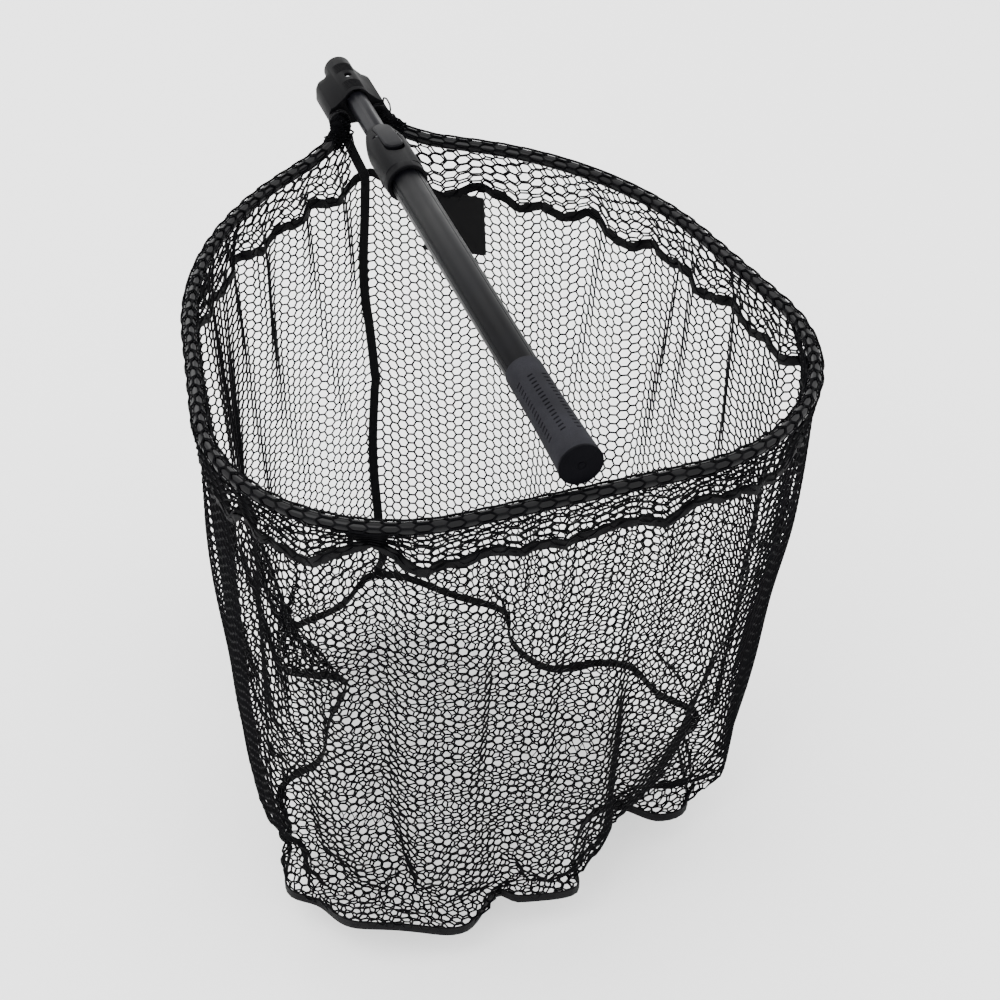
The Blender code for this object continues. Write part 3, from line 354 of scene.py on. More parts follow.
# %% Soft edges for the hard pieces
def soften(node, name, edge_mm, sharp=32):
    """A welded copy of a solid with its sharp edges rounded."""
    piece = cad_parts[node].copy()
    piece.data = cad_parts[node].data.copy()
    for key in [k for k in piece.keys() if k.startswith("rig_")]:
        del piece[key]
    piece.parent = None
    piece.name = name
    piece.data.name = name
    bpy.context.scene.collection.objects.link(piece)
    only(piece)
    bpy.ops.object.mode_set(mode="EDIT")
    bpy.ops.mesh.select_all(action="SELECT")
    bpy.ops.mesh.remove_doubles(threshold=0.00002)
    bpy.ops.mesh.customdata_custom_splitnormals_clear()
    bpy.ops.mesh.dissolve_limited(angle_limit=math.radians(1.0))
    bpy.ops.object.mode_set(mode="OBJECT")
    bevel = piece.modifiers.new("soft_edges", "BEVEL")
    bevel.width = edge_mm / 1000
    bevel.segments = 2
    bevel.limit_method = "ANGLE"
    bevel.angle_limit = math.radians(sharp)
    bevel.harden_normals = False
    apply_all(piece)
    return piece


HARD_PIECES = [
    ("yoke", "moulded_yoke", 0.5, nylon_black, "moulded_black", "head"),
    ("lock_housing", "lock_housing_shell", 0.4, nylon_black, "moulded_black", "handle"),
    ("lock_button", "lock_button_cover", 0.5, button_plastic, "button_grey", "lock_lever"),
    ("end_cap", "butt_cap", 0.3, cap_plastic, "cap_black", "handle"),
    ("outer_tube", "drawn_outer_tube", 0.15, tube_black, "anodised_black", "handle"),
    ("inner_tube", "drawn_inner_tube", 0.15, tube_grey, "anodised_grey", "inner_tube")]
for node, name, edge, material, slot, body in HARD_PIECES:
    piece = soften(node, name, edge)
    finish_piece(piece, material, slot, body, node)
    print(name, len(piece.data.polygons), "faces")

# %% [markdown]
# The small inner metal and nylon pieces keep their solids, and only get their finishes.

# %% Finishes for the kept solids
KEPT = {"guide_bush": nylon_dark, "inner_tube_slider": nylon_dark, "housing_screw": zinc_steel,
        "hoop_screw_left": zinc_steel, "hoop_screw_right": zinc_steel,
        "lock_spring": zinc_steel, "lock_pivot_pin": zinc_steel, "lock_pin": zinc_steel,
        "snap_spring": zinc_steel, "snap_button": chrome}
for node, material in KEPT.items():
    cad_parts[node].data.materials.clear()
    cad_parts[node].data.materials.append(material)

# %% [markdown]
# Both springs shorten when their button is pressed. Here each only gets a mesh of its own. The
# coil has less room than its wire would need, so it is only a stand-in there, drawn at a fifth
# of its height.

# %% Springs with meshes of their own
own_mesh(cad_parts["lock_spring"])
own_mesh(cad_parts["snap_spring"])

# %% [markdown]
# The grip is turned from a cylinder whose rings are widened towards the butt. Its rows of
# short slots let water out from under the hand. One slot is made, copied round and along the
# grip, and all of them are cut in one go.

# %% Grip blank
grip_low, grip_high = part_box("grip")
GRIP_LENGTH = grip_high.y - grip_low.y
GRIP_END_R = grip_high.z
TUBE_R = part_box("outer_tube")[1].z
GRIP_START_R = TUBE_R + 0.00125
GRIP_FLARE = 2.2
GRIP_SIDES, GRIP_RINGS = 96, 20


def grip_radius(y):
    """The grip's radius, which grows late and quickly towards the butt."""
    share = min(1.0, max(0.0, (y - grip_low.y) / GRIP_LENGTH))
    return GRIP_START_R + (GRIP_END_R - GRIP_START_R) * (1 - share) ** GRIP_FLARE


bpy.ops.object.select_all(action="DESELECT")
bpy.ops.mesh.primitive_cylinder_add(vertices=GRIP_SIDES, radius=GRIP_END_R, depth=GRIP_LENGTH,
                                    end_fill_type="NOTHING", rotation=(math.pi / 2, 0, 0),
                                    location=(0, (grip_low.y + grip_high.y) / 2, 0))
grip = bpy.context.object
grip.name = "slotted_grip"
bpy.ops.object.transform_apply(location=True, rotation=True, scale=True)
bpy.ops.object.mode_set(mode="EDIT")
for k in range(1, GRIP_RINGS):
    bpy.ops.mesh.select_all(action="SELECT")
    bpy.ops.mesh.bisect(plane_co=(0, grip_low.y + GRIP_LENGTH * k / GRIP_RINGS, 0),
                        plane_no=(0, 1, 0))
bpy.ops.object.mode_set(mode="OBJECT")
for corner in grip.data.vertices:
    angle = math.atan2(corner.co.z, corner.co.x)
    radius = grip_radius(corner.co.y)
    corner.co.x, corner.co.z = radius * math.cos(angle), radius * math.sin(angle)
print("grip blank:", len(grip.data.vertices), "corners")

# %% Grip wall
GRIP_WALL, GRIP_EDGE = 0.0011, 0.0005
wall = grip.modifiers.new("wall", "SOLIDIFY")
wall.thickness = GRIP_WALL
wall.offset = -1
edge = grip.modifiers.new("edge", "BEVEL")
edge.width = GRIP_EDGE
edge.segments = 3
edge.angle_limit = math.radians(50)
apply_all(grip)

# %% Slots in the grip
SLOT_ROWS = 8
SLOT_COUNT = 16
SLOT_PITCH = 0.0053
SLOT_FIRST_Y = 0.030
SLOT_LONG = 0.0058
SLOT_WIDE = 0.0018
SLOT_DEPTH = 0.0016
SLOT_SLANT = math.radians(14)
FIRST_ROW = math.radians(17)
slots = []
for row in range(SLOT_ROWS):
    turn = FIRST_ROW + row * 2 * math.pi / SLOT_ROWS
    out = Vector((-math.sin(turn), 0, math.cos(turn)))
    for k in range(SLOT_COUNT):
        y = SLOT_FIRST_Y + k * SLOT_PITCH
        bpy.ops.object.select_all(action="DESELECT")
        if slots:
            slot = slots[0].copy()
            slot.data = slots[0].data.copy()
            bpy.context.scene.collection.objects.link(slot)
        else:
            bpy.ops.mesh.primitive_cube_add(size=1)
            slot = bpy.context.object
            slot.data.transform(Matrix.Diagonal((SLOT_LONG, SLOT_WIDE, 2 * SLOT_DEPTH, 1)))
            bpy.ops.object.mode_set(mode="EDIT")
            bpy.ops.mesh.bevel(offset=SLOT_WIDE * 0.45, segments=2, affect="EDGES")
            bpy.ops.object.mode_set(mode="OBJECT")
        slot.matrix_world = (Matrix.Translation(out * grip_radius(y) + Vector((0, y, 0)))
                             @ Matrix.Rotation(-turn, 4, "Y")
                             @ Matrix.Rotation(SLOT_SLANT, 4, "Z"))
        slots.append(slot)
slot_cutter = joined(slots)
cut = grip.modifiers.new("slots", "BOOLEAN")
cut.operation = "DIFFERENCE"
cut.solver = "EXACT"
cut.object = slot_cutter
apply_all(grip)
bpy.data.objects.remove(slot_cutter)
finish_piece(grip, grip_rubber, "rubber_grey", "handle", "grip", smooth=30)
print("grip:", len(grip.data.polygons), "faces,", SLOT_ROWS * SLOT_COUNT, "slots")

# %% [markdown]
# Everything soft hangs from the hoop, so its line comes first: straight legs and wide bends,
# as a bent tube has. The bag hangs from nearly the same outline, but closes to a blunt point
# at the back instead of running into the yoke.

# %% Outlines of the hoop and the bag's mouth
hoop_low, hoop_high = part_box("hoop_tube")
HOOP_R = 0.006
HOOP_Z = hoop_low.z + HOOP_R
NECK_Z = hoop_high.z - HOOP_R
HOOP_END_Y = hoop_high.y
NECK = (0.0205, 0.595)
RISE_END_Y, RISE_LENGTH = 0.610, 0.047
SHOULDER = (0.221, 0.463)
CORNER = (0.310, -0.004)
NECK_R, SHOULDER_R, CORNER_R, BACK_R = 0.030, 0.340, 0.171, 0.040
ARC_STEPS = 24


def rounded(corners, radii, closed):
    """A level line through corners, each rounded by its own radius, 0 at a free end."""
    line = []
    for i, (corner, radius) in enumerate(zip(corners, radii)):
        here = Vector(corner)
        if radius == 0:
            line.append(here)
            continue
        before = (Vector(corners[i - 1]) - here).normalized()
        after = (Vector(corners[(i + 1) % len(corners)]) - here).normalized()
        half = before.angle(after) / 2
        centre = here + (before + after).normalized() * radius / math.sin(half)
        start = here + before * radius / math.tan(half) - centre
        turn = start.angle_signed(here + after * radius / math.tan(half) - centre)
        line += [centre + Matrix.Rotation(-turn * k / ARC_STEPS, 2) @ start
                 for k in range(ARC_STEPS + 1)]
    if closed:
        line.append(line[0])
    return np.array([tuple(point) for point in line])


def evenly(line, count, closed):
    """The same line through a number of evenly spaced points."""
    steps = np.linalg.norm(np.diff(line, axis=0), axis=1)
    along = np.concatenate([[0], np.cumsum(steps)])
    wanted = np.linspace(0, along[-1], count, endpoint=not closed)
    return np.stack([np.interp(wanted, along, line[:, k]) for k in range(line.shape[1])], axis=1)


def hoop_height(y):
    """Height of the hoop's centre line, which climbs only at its two necks."""
    share = np.clip(1 - (RISE_END_Y - y) / RISE_LENGTH, 0, 1)
    return HOOP_Z + (NECK_Z - HOOP_Z) * share ** 2 * (3 - 2 * share)


def mirrored(points):
    """Corners followed by their mirror images, the other way round."""
    return points + [(-x, y) for x, y in points[::-1]]


hoop_line = rounded(mirrored([(NECK[0], HOOP_END_Y), NECK, SHOULDER, CORNER]),
                    [0, NECK_R, SHOULDER_R, CORNER_R, CORNER_R, SHOULDER_R, NECK_R, 0], False)
apex_y = SHOULDER[1] + (NECK[1] - SHOULDER[1]) / (SHOULDER[0] - NECK[0]) * SHOULDER[0]
mouth_corners = [(0, apex_y)] + mirrored([SHOULDER, CORNER])
mouth_line = rounded(mouth_corners, [BACK_R, SHOULDER_R, CORNER_R, CORNER_R, SHOULDER_R], True)
start = ARC_STEPS // 2
mouth_line = np.concatenate([mouth_line[start:-1], mouth_line[:start + 1]])
print("hoop's height", HOOP_Z, "mouth's first point", mouth_line[0])

# %% [markdown]
# The bottom seam is a loose cloth edge. It lies in uneven lobes that follow no formula, so
# its outline is a smooth closed curve through a few points chosen to follow the real one,
# in metres, from the back round the right side. It is about nine tenths as long as the
# mouth's outline, as the bag was sewn from straight lengths of net, and the spare length lies
# in those lobes.

# %% The bottom seam's outline
SEAM_POINTS = [(-0.030, 0.487), (0.045, 0.425), (0.082, 0.385), (0.074, 0.345), (0.098, 0.285),
               (0.150, 0.274), (0.178, 0.262), (0.190, 0.220), (0.214, 0.175), (0.182, 0.150),
               (0.167, 0.105), (0.150, 0.058), (0.122, 0.058), (0.092, 0.090), (0.052, 0.075),
               (0.022, 0.030), (0.010, -0.006), (-0.042, 0.000), (-0.062, 0.018),
               (-0.100, -0.010), (-0.140, -0.006), (-0.200, 0.020), (-0.222, 0.060),
               (-0.246, 0.088), (-0.224, 0.150), (-0.218, 0.208), (-0.170, 0.236),
               (-0.142, 0.295), (-0.112, 0.340), (-0.166, 0.378), (-0.150, 0.425),
               (-0.078, 0.462)]


def smooth_closed(points, steps=10):
    """A closed curve through points, with an even bend between them."""
    knots = np.array(points)
    line = []
    for i in range(len(knots)):
        a, b, c, d = (knots[(i + k) % len(knots)] for k in (-1, 0, 1, 2))
        for t in np.arange(steps) / steps:
            line.append(b + t * (c - a) / 2 + t ** 2 * (a - 2.5 * b + 2 * c - d / 2)
                        + t ** 3 * ((d - a) / 2 + 1.5 * (b - c)))
    return np.array(line + [line[0]])


seam_line = smooth_closed(SEAM_POINTS)
for label, line in (("mouth", mouth_line), ("seam", seam_line)):
    print(label, "is", round(float(np.linalg.norm(np.diff(line, axis=0), axis=1).sum()), 3), "m")

# %% [markdown]
# The bag's body is first a grid of points from the hoop down to the bottom seam. The binding
# that joins the upper fold of net to the bag rises and falls in short waves, because the tape
# is shorter than the net sewn into it. It sits a little higher at the front than at the back,
# and is pulled up in a few short places, each given by its place, width and height.

# %% The bag's starting shape
COLUMNS = 256
SKIRT_ROWS, WALL_ROWS = 6, 42
BAND_DROP = 0.051
BAND_INSET = 0.003
FRONT_RISE = 0.009
BAND_RISES = [(0.600, 0.014, 0.026), (0.668, 0.006, 0.012), (0.437, 0.008, 0.010)]
BAND_WAVES = [(17, 0.0035, 0.4), (29, 0.0028, 1.9), (41, 0.0020, 0.0)]
BAND_SWAYS = [(17, 0.0040, 0.9), (29, 0.0030, 2.2)]
FLUTES = [(11, 0.0030, 0.3), (19, 0.0023, 2.6), (31, 0.0011, 1.1)]
SEAM_Z = -0.5105
SEAM_WAVES = [(7, 0.0040, 0.0), (12, 0.0030, 1.0)]
shares = np.arange(COLUMNS) / COLUMNS


def waves(parts, at, lean=0.0):
    """The sum of a few waves round the bag, given as (count, height, start)."""
    return sum(height * np.sin(2 * math.pi * count * at + begin + lean * count)
               for count, height, begin in parts)


def outward(line):
    """The level direction out of a closed line at each of its points."""
    ahead = np.roll(line, -1, axis=0) - np.roll(line, 1, axis=0)
    ahead /= np.linalg.norm(ahead, axis=1, keepdims=True)
    return np.stack([-ahead[:, 1], ahead[:, 0]], axis=1)


mouth = evenly(mouth_line, COLUMNS, True)
mouth_out = outward(mouth)
seam = evenly(seam_line, COLUMNS, True)
band = mouth + mouth_out * (waves(BAND_SWAYS, shares) - BAND_INSET)[:, None]
drop = BAND_DROP - FRONT_RISE * (1 - np.cos(2 * math.pi * shares)) / 2
for place, width, rise in BAND_RISES:
    drop -= rise * np.exp(-((shares - place) / width) ** 2)
band_z = HOOP_Z - drop + waves(BAND_WAVES, shares)
seam_z = SEAM_Z + waves(SEAM_WAVES, shares)
rows = []
for k in range(SKIRT_ROWS):
    share = k / SKIRT_ROWS
    level = mouth * (1 - share) + band * share
    rows.append(np.column_stack([level, hoop_height(mouth[:, 1]) * (1 - share) + band_z * share]))
for k in range(WALL_ROWS + 1):
    share = k / WALL_ROWS
    level = band * (1 - share ** 1.25) + seam * share ** 1.25
    swell = math.sin(math.pi * share) ** 0.8
    level = level + mouth_out * (swell * waves(FLUTES, shares, 0.5 * share))[:, None]
    rows.append(np.column_stack([level, band_z * (1 - share) + seam_z * share]))
bag = np.array(rows)
print("bag grid:", bag.shape, "out at the right:", mouth_out[COLUMNS // 4])

# %% [markdown]
# Real netting finds its own folds. The grid becomes a sheet of cloth held by the hoop and by
# the stiff bottom seam, a little larger than the space it hangs in, and gravity and its own
# spare width fold it. The sheet is only a guide: the netting is laid on it afterwards.

# %% Settle the bag as cloth
SETTLE_FRAMES = 28
SPARE = 0.035
MOST_MOVE = 0.028


def grid_mesh(name, grid, closed=True):
    """A mesh of four-sided faces on a grid of points."""
    count, across = grid.shape[:2]
    faces = []
    for j in range(count - 1):
        for i in range(across if closed else across - 1):
            k = (i + 1) % across
            faces.append((j * across + i, (j + 1) * across + i, (j + 1) * across + k,
                          j * across + k))
    return new_piece(name, grid.reshape(-1, 3), faces)


def settle(grid):
    """The grid after it has hung as cloth between its first and last rows."""
    sheet = grid_mesh("bag_guide", grid)
    held = sheet.vertex_groups.new(name="held")
    total = grid.shape[0] * COLUMNS
    held.add(list(range(COLUMNS)) + list(range(total - COLUMNS, total)), 1.0, "REPLACE")
    cloth = sheet.modifiers.new("hang", "CLOTH")
    cloth.settings.quality = 6
    cloth.settings.mass = 0.12
    cloth.settings.tension_stiffness = 14
    cloth.settings.compression_stiffness = 14
    cloth.settings.shear_stiffness = 3
    cloth.settings.bending_stiffness = 0.15
    cloth.settings.air_damping = 3
    cloth.settings.shrink_min = -SPARE
    cloth.settings.vertex_group_mass = "held"
    cloth.point_cache.frame_end = SETTLE_FRAMES
    for number in range(1, SETTLE_FRAMES + 1):
        bpy.context.scene.frame_set(number)
    hung = sheet.evaluated_get(bpy.context.evaluated_depsgraph_get()).data
    places = np.zeros(total * 3)
    hung.vertices.foreach_get("co", places)
    moved = places.reshape(grid.shape) - grid
    far = np.linalg.norm(moved, axis=2, keepdims=True)
    moved *= np.minimum(1.0, MOST_MOVE / np.maximum(far, 1e-9))
    bpy.data.objects.remove(sheet)
    bpy.context.scene.frame_set(1)
    print("cloth moved at most", round(float(far.max()) * 1000, 1), "mm")
    return grid + moved


bag = settle(bag)
skirt_grid, wall_grid = bag[:SKIRT_ROWS + 1], bag[SKIRT_ROWS:]


# %% [markdown]
# Knotless netting is a honeycomb of cord. One function lists the cells of a flat honeycomb, as
# shares across and down; another bends them to a surface. The Wireframe modifier then turns
# each cell's edges into cord, with clean joints where three threads meet.

# %% Honeycomb helpers
def honeycomb(across, down, wrap_across=False, wrap_down=False):
    """Corners, as shares across and down, and cells of a honeycomb of that many cells."""
    corners, cells = {}, []
    wide = 3 * across if wrap_across else 3 * across + 1
    high = 2 * down if wrap_down else 2 * down + 1
    for column in range(across):
        for row in range(down):
            x, y = 3 * column + 2, 2 * row + column % 2 + 1
            cell = []
            for dx, dy in ((2, 0), (1, 1), (-1, 1), (-2, 0), (-1, -1), (1, -1)):
                key = ((x + dx) % wide if wrap_across else x + dx,
                       (y + dy) % high if wrap_down else y + dy)
                cell.append(corners.setdefault(key, len(corners)))
            cells.append(cell)
    keys = np.array(list(corners), float)
    return keys[:, 0] / wide, keys[:, 1] / high, cells


def on_grid(grid, across, down):
    """Points on a closed band of surface points, at shares round it and down it."""
    count, columns = grid.shape[:2]
    a = (across % 1.0) * columns
    d = np.clip(down, 0, 1) * (count - 1)
    left = np.floor(a).astype(int) % columns
    upper = np.minimum(np.floor(d).astype(int), count - 2)
    right = (left + 1) % columns
    fa, fd = (a % 1.0)[:, None], (d - upper)[:, None]
    above = grid[upper, left] * (1 - fa) + grid[upper, right] * fa
    below = grid[upper + 1, left] * (1 - fa) + grid[upper + 1, right] * fa
    return above * (1 - fd) + below * fd


def netting(name, points, cells, thread):
    """Cord along every edge of the cells."""
    used = sorted({i for cell in cells for i in cell})
    renumber = {old: new for new, old in enumerate(used)}
    cells = [[renumber[i] for i in cell] for cell in cells]
    net = new_piece(name, points[used], cells)
    cord = net.modifiers.new("cord", "WIREFRAME")
    cord.thickness = thread
    cord.use_even_offset = False
    cord.use_boundary = True
    apply_all(net)
    surface = sum(face.area for face in net.data.polygons)
    print(name, len(cells), "cells,", len(net.data.polygons) * 2, "triangles,",
          round(surface, 3), "m2 of cord")
    return net


# %% [markdown]
# The bag's wall has nearly ten thousand cells, each about 10 mm across, as the coated nets
# that spare a fish's scales have. It is made as two halves, so that neither mesh grows large.

# %% Net of the bag's wall
WALL_CELLS = (208, 46)
THREAD = 0.0023
across, down, cells = honeycomb(*WALL_CELLS, wrap_across=True)
wall_points = on_grid(wall_grid, across, down)
half = len(cells) // 2
for side, part in (("right", cells[:half]), ("left", cells[half:])):
    net = netting(f"bag_wall_net_{side}", wall_points, part, THREAD)
    finish_piece(net, net_coat, "net_mesh", "head", "net_wall", smooth=60)

# %% [markdown]
# Over the hoop the net is folded double: it comes up the outside from the wavy binding, runs
# over the tube and goes down the inside to the same binding. The cells are pulled wide along
# the tube. The fold stops a little short of the mouth's back point, on each side of it.

# %% Net folded over the hoop
FOLD_CELLS = (138, 13)
SLEEVE_R = HOOP_R + THREAD * 0.62
SEWN_GAP = 0.0010
BACK_GAP = 0.016
FOLD_START = BACK_GAP / float(np.linalg.norm(np.diff(mouth_line, axis=0), axis=1).sum())
skirt_share = BAND_DROP / (2 * BAND_DROP + math.pi * SLEEVE_R)
mouth_grid = np.column_stack([mouth, hoop_height(mouth[:, 1])])[None].repeat(2, axis=0)
out_grid = np.column_stack([mouth_out, np.zeros(COLUMNS)])[None].repeat(2, axis=0)


def on_fold(across, down):
    """Points on the double net: up the outside, over the tube and down the inside."""
    at = FOLD_START + across * (1 - 2 * FOLD_START)
    centre, out = on_grid(mouth_grid, at, down * 0), on_grid(out_grid, at, down * 0)
    rise = np.minimum(1.0, np.minimum(down, 1 - down) / skirt_share)
    side = np.where(down < 0.5, 1.0, -1.0)
    gap = SEWN_GAP + (SLEEVE_R - SEWN_GAP) * rise ** 1.6
    hanging = on_grid(skirt_grid, at, 1 - rise) + out * (side * gap)[:, None]
    turn = math.pi * np.clip((down - skirt_share) / (1 - 2 * skirt_share), 0, 1)
    over = centre + SLEEVE_R * (out * np.cos(turn)[:, None]
                                + np.array([0, 0, 1]) * np.sin(turn)[:, None])
    return np.where((rise < 1)[:, None], hanging, over)


across, down, cells = honeycomb(*FOLD_CELLS)
net_fold = netting("hoop_fold_net", on_fold(across, down), cells, THREAD)
finish_piece(net_fold, net_coat, "net_mesh", "head", "net_sleeve", "net_skirt", smooth=60)

# %% [markdown]
# The bottom is a flat cut of the same net, sewn into the seam. Its honeycomb is laid over the
# seam's outline, cells outside it are dropped, and corners that reach past it are drawn back
# to it. It sags between the seams, most in the middle.

# %% Net of the bottom
CELL_SIDE = 0.0062
BOTTOM_SAG = 0.020
SAG_REACH = 0.070
RIPPLE = 0.003
edge_line = wall_grid[-1]


def nearest_on_edge(points):
    """For level points: the nearest point of the seam, its distance, and whether it is inside."""
    a, b = edge_line[:, :2], np.roll(edge_line[:, :2], -1, axis=0)
    d = b - a
    best = np.full(len(points), 1e9)
    place = np.zeros((len(points), 3))
    crossings = np.zeros(len(points), int)
    heights = np.roll(edge_line[:, 2], -1)
    for i in range(COLUMNS):
        t = np.clip(((points - a[i]) @ d[i]) / max(d[i] @ d[i], 1e-12), 0, 1)
        near = a[i] + t[:, None] * d[i]
        far = np.linalg.norm(points - near, axis=1)
        closer = far < best
        best = np.where(closer, far, best)
        z = edge_line[i, 2] * (1 - t) + heights[i] * t
        place[closer] = np.column_stack([near, z])[closer]
        spans = (a[i, 1] > points[:, 1]) != (b[i, 1] > points[:, 1])
        x = a[i, 0] + (points[:, 1] - a[i, 1]) / (d[i, 1] or 1e-12) * d[i, 0]
        crossings += spans & (points[:, 0] < x)
    return place, best, crossings % 2 == 1


low, high = edge_line.min(axis=0), edge_line.max(axis=0)
size = high - low
bottom_cells = (int(size[0] / (1.5 * CELL_SIDE)) + 2, int(size[1] / (3 ** 0.5 * CELL_SIDE)) + 2)
across, down, cells = honeycomb(*bottom_cells)
level = np.column_stack([low[0] - CELL_SIDE + across * (3 * bottom_cells[0] + 1) * CELL_SIDE / 2,
                         low[1] - CELL_SIDE + down * (2 * bottom_cells[1] + 1)
                         * CELL_SIDE * 3 ** 0.5 / 2])
place, far, inside = nearest_on_edge(level)
cells = [cell for cell in cells if sum(inside[i] for i in cell) >= 4]
inner = 1 - np.exp(-far / SAG_REACH)
ripples = np.sin(level[:, 0] * 60 + 2 * np.sin(level[:, 1] * 23))
height = place[:, 2] - BOTTOM_SAG * inner + RIPPLE * inner * ripples
points = np.where(inside[:, None], np.column_stack([level, height]), place)
net_bottom = netting("bag_bottom_net", points, cells, THREAD)
finish_piece(net_bottom, net_coat, "net_mesh", "head", "net_bottom", smooth=60)


# %% [markdown]
# A sweep makes tapes, cords and the hoop: rings of points are skinned along a line. The skin
# has a UV map in metres, along and round, which the woven finishes read.

# %% Sweep helpers
def skin_rings(name, rings, closed=False):
    """A closed skin through rings of points, with a UV map in metres."""
    count, sides = rings.shape[:2]
    faces, maps = [], []
    centres = rings.mean(axis=1)
    after = np.roll(centres, -1, axis=0) if closed else centres[1:]
    along = np.concatenate([[0], np.cumsum(np.linalg.norm(after - centres[:len(after)],
                                                          axis=1))])
    edge = np.linalg.norm(rings[0] - np.roll(rings[0], -1, axis=0), axis=1)
    round_it = np.concatenate([[0], np.cumsum(edge)])
    for i in range(count if closed else count - 1):
        k = (i + 1) % count
        for j in range(sides):
            m = (j + 1) % sides
            faces.append((i * sides + j, i * sides + m, k * sides + m, k * sides + j))
            maps += [along[i], round_it[j], along[i], round_it[j + 1], along[i + 1],
                     round_it[j + 1], along[i + 1], round_it[j]]
    if not closed:
        for ring, at in ((range(sides - 1, -1, -1), 0), (range(sides), count - 1)):
            faces.append([at * sides + j for j in ring])
            for j in ring:
                maps += [along[at], round_it[j]]
    piece = new_piece(name, rings.reshape(-1, 3), faces)
    piece.data.uv_layers.new(name="length_and_girth").data.foreach_set("uv", maps)
    only(piece)
    bpy.ops.object.mode_set(mode="EDIT")
    bpy.ops.mesh.select_all(action="SELECT")
    bpy.ops.mesh.normals_make_consistent(inside=False)
    bpy.ops.object.mode_set(mode="OBJECT")
    return piece


def directions(line, closed):
    """The unit direction along a line at each of its points."""
    if closed:
        ahead = np.roll(line, -1, axis=0) - np.roll(line, 1, axis=0)
    else:
        ahead = np.gradient(line, axis=0)
    return ahead / np.maximum(np.linalg.norm(ahead, axis=1, keepdims=True), 1e-9)


def sweep(name, line, facing, outline, closed=False):
    """Sweep an outline, points (across, out), along a line; out lies nearest to facing."""
    ahead = directions(line, closed)
    out = facing - ahead * np.sum(facing * ahead, axis=1, keepdims=True)
    out /= np.maximum(np.linalg.norm(out, axis=1, keepdims=True), 1e-9)
    across = np.cross(ahead, out)
    outline = np.array(outline)
    rings = (line[:, None] + across[:, None] * outline[None, :, :1]
             + out[:, None] * outline[None, :, 1:])
    return skin_rings(name, rings, closed)


def round_outline(radius, sides):
    """A circle's points."""
    turn = 2 * math.pi * np.arange(sides) / sides
    return np.column_stack([radius * np.cos(turn), radius * np.sin(turn)])


def tape_outline(width, thickness):
    """A folded tape's outline: two crowned faces and rolled edges."""
    half, thin = width / 2, thickness / 2
    upper = [(-half, 0), (-half * 0.9, thin * 0.8), (-half * 0.45, thin * 0.75),
             (0, thin * 0.9), (half * 0.45, thin * 0.75), (half * 0.9, thin * 0.8), (half, 0)]
    return upper + [(a, -b) for a, b in upper[-2:0:-1]]


# %% [markdown]
# The hoop is one bent tube. The solid that stands for it has ten sides, which would show along
# its outline, so the shown tube is swept again with more sides and closer points.

# %% Hoop tube
HOOP_POINTS, HOOP_SIDES = 420, 20
line = evenly(hoop_line, HOOP_POINTS, False)
line = np.column_stack([line, hoop_height(line[:, 1])])
upright = np.tile(np.array([0.0, 0.0, 1.0]), (HOOP_POINTS, 1))
hoop = sweep("bent_hoop_tube", line, upright, round_outline(HOOP_R, HOOP_SIDES))
finish_piece(hoop, powder_black, "gloss_black", "head", "hoop_tube")

# %% [markdown]
# Three tapes bind the net: the wavy one under the hoop, the one round the bottom, and the one
# down the back where the net's ends meet. The last one's upper end climbs to the left neck of
# the hoop beside an open slit. Each is a folded tape about 10 mm wide that follows the net.

# %% Bindings
TAPE_WIDTH = 0.0100
TAPE_THICK = 0.0022
profile = tape_outline(TAPE_WIDTH, TAPE_THICK)
out_3d = np.column_stack([mouth_out, np.zeros(COLUMNS)])
band_tape = sweep("wavy_band_binding", wall_grid[0], out_3d, profile, closed=True)
finish_piece(band_tape, binding_weave, "binding_tape", "head", "top_band_tape", smooth=60)
seam_out = np.column_stack([outward(edge_line[:, :2]), np.zeros(COLUMNS)])
seam_tape = sweep("bottom_seam_binding", edge_line, seam_out, profile, closed=True)
finish_piece(seam_tape, binding_weave, "binding_tape", "head", "bottom_seam_tape", smooth=60)
SLIT_CLIMB = [(-0.016, 0.600, NECK_Z - 0.010), (-0.014, 0.600, NECK_Z - 0.024),
              (-0.007, 0.600, NECK_Z - 0.044)]
SEAM_WANDER = 0.004
BACK_POINTS = 120
back_line = np.concatenate([np.array(SLIT_CLIMB), wall_grid[:, 0] - np.array([0, TAPE_THICK, 0])])
back_line = evenly(back_line, BACK_POINTS, False)
down_it = np.linspace(0, 1, BACK_POINTS)
back_line[:, 0] += SEAM_WANDER * np.sin(down_it * 15) * np.sin(down_it * math.pi)
inwards = np.tile([0.0, -1.0, 0.0], (BACK_POINTS, 1))
back_tape = sweep("back_seam_binding", back_line, inwards, profile)
finish_piece(back_tape, binding_weave, "binding_tape", "head", "vertical_seam_tape", smooth=60)

# %% [markdown]
# On each neck of the hoop the netting is bunched up and lashed with a thin braided cord, so it
# can't slide off the tube. The bunch is netting again, wound tight in two loose layers; the
# lashing is one cord wound round it. On the right neck the cord's spare end makes a small loop
# that ends in a knot.

# %% Bunched net on the necks
BUNCH_START, BUNCH_LONG = 0.0375, 0.036
BUNCH_CELLS = (15, 9)
BUNCH_THREAD = 0.0016
neck_line = np.array([p for p in hoop_line if p[0] > 0 and p[1] > 0.5])
neck_line = evenly(neck_line, 400, False)
neck_steps = np.linalg.norm(np.diff(neck_line, axis=0), axis=1)
neck_along = np.concatenate([[0], np.cumsum(neck_steps)])


def neck_place(along):
    """Places on the right neck's centre line, at lengths from the hoop's end."""
    x = np.interp(along, neck_along, neck_line[:, 0])
    y = np.interp(along, neck_along, neck_line[:, 1])
    return np.stack([x, y, hoop_height(y)], axis=-1)


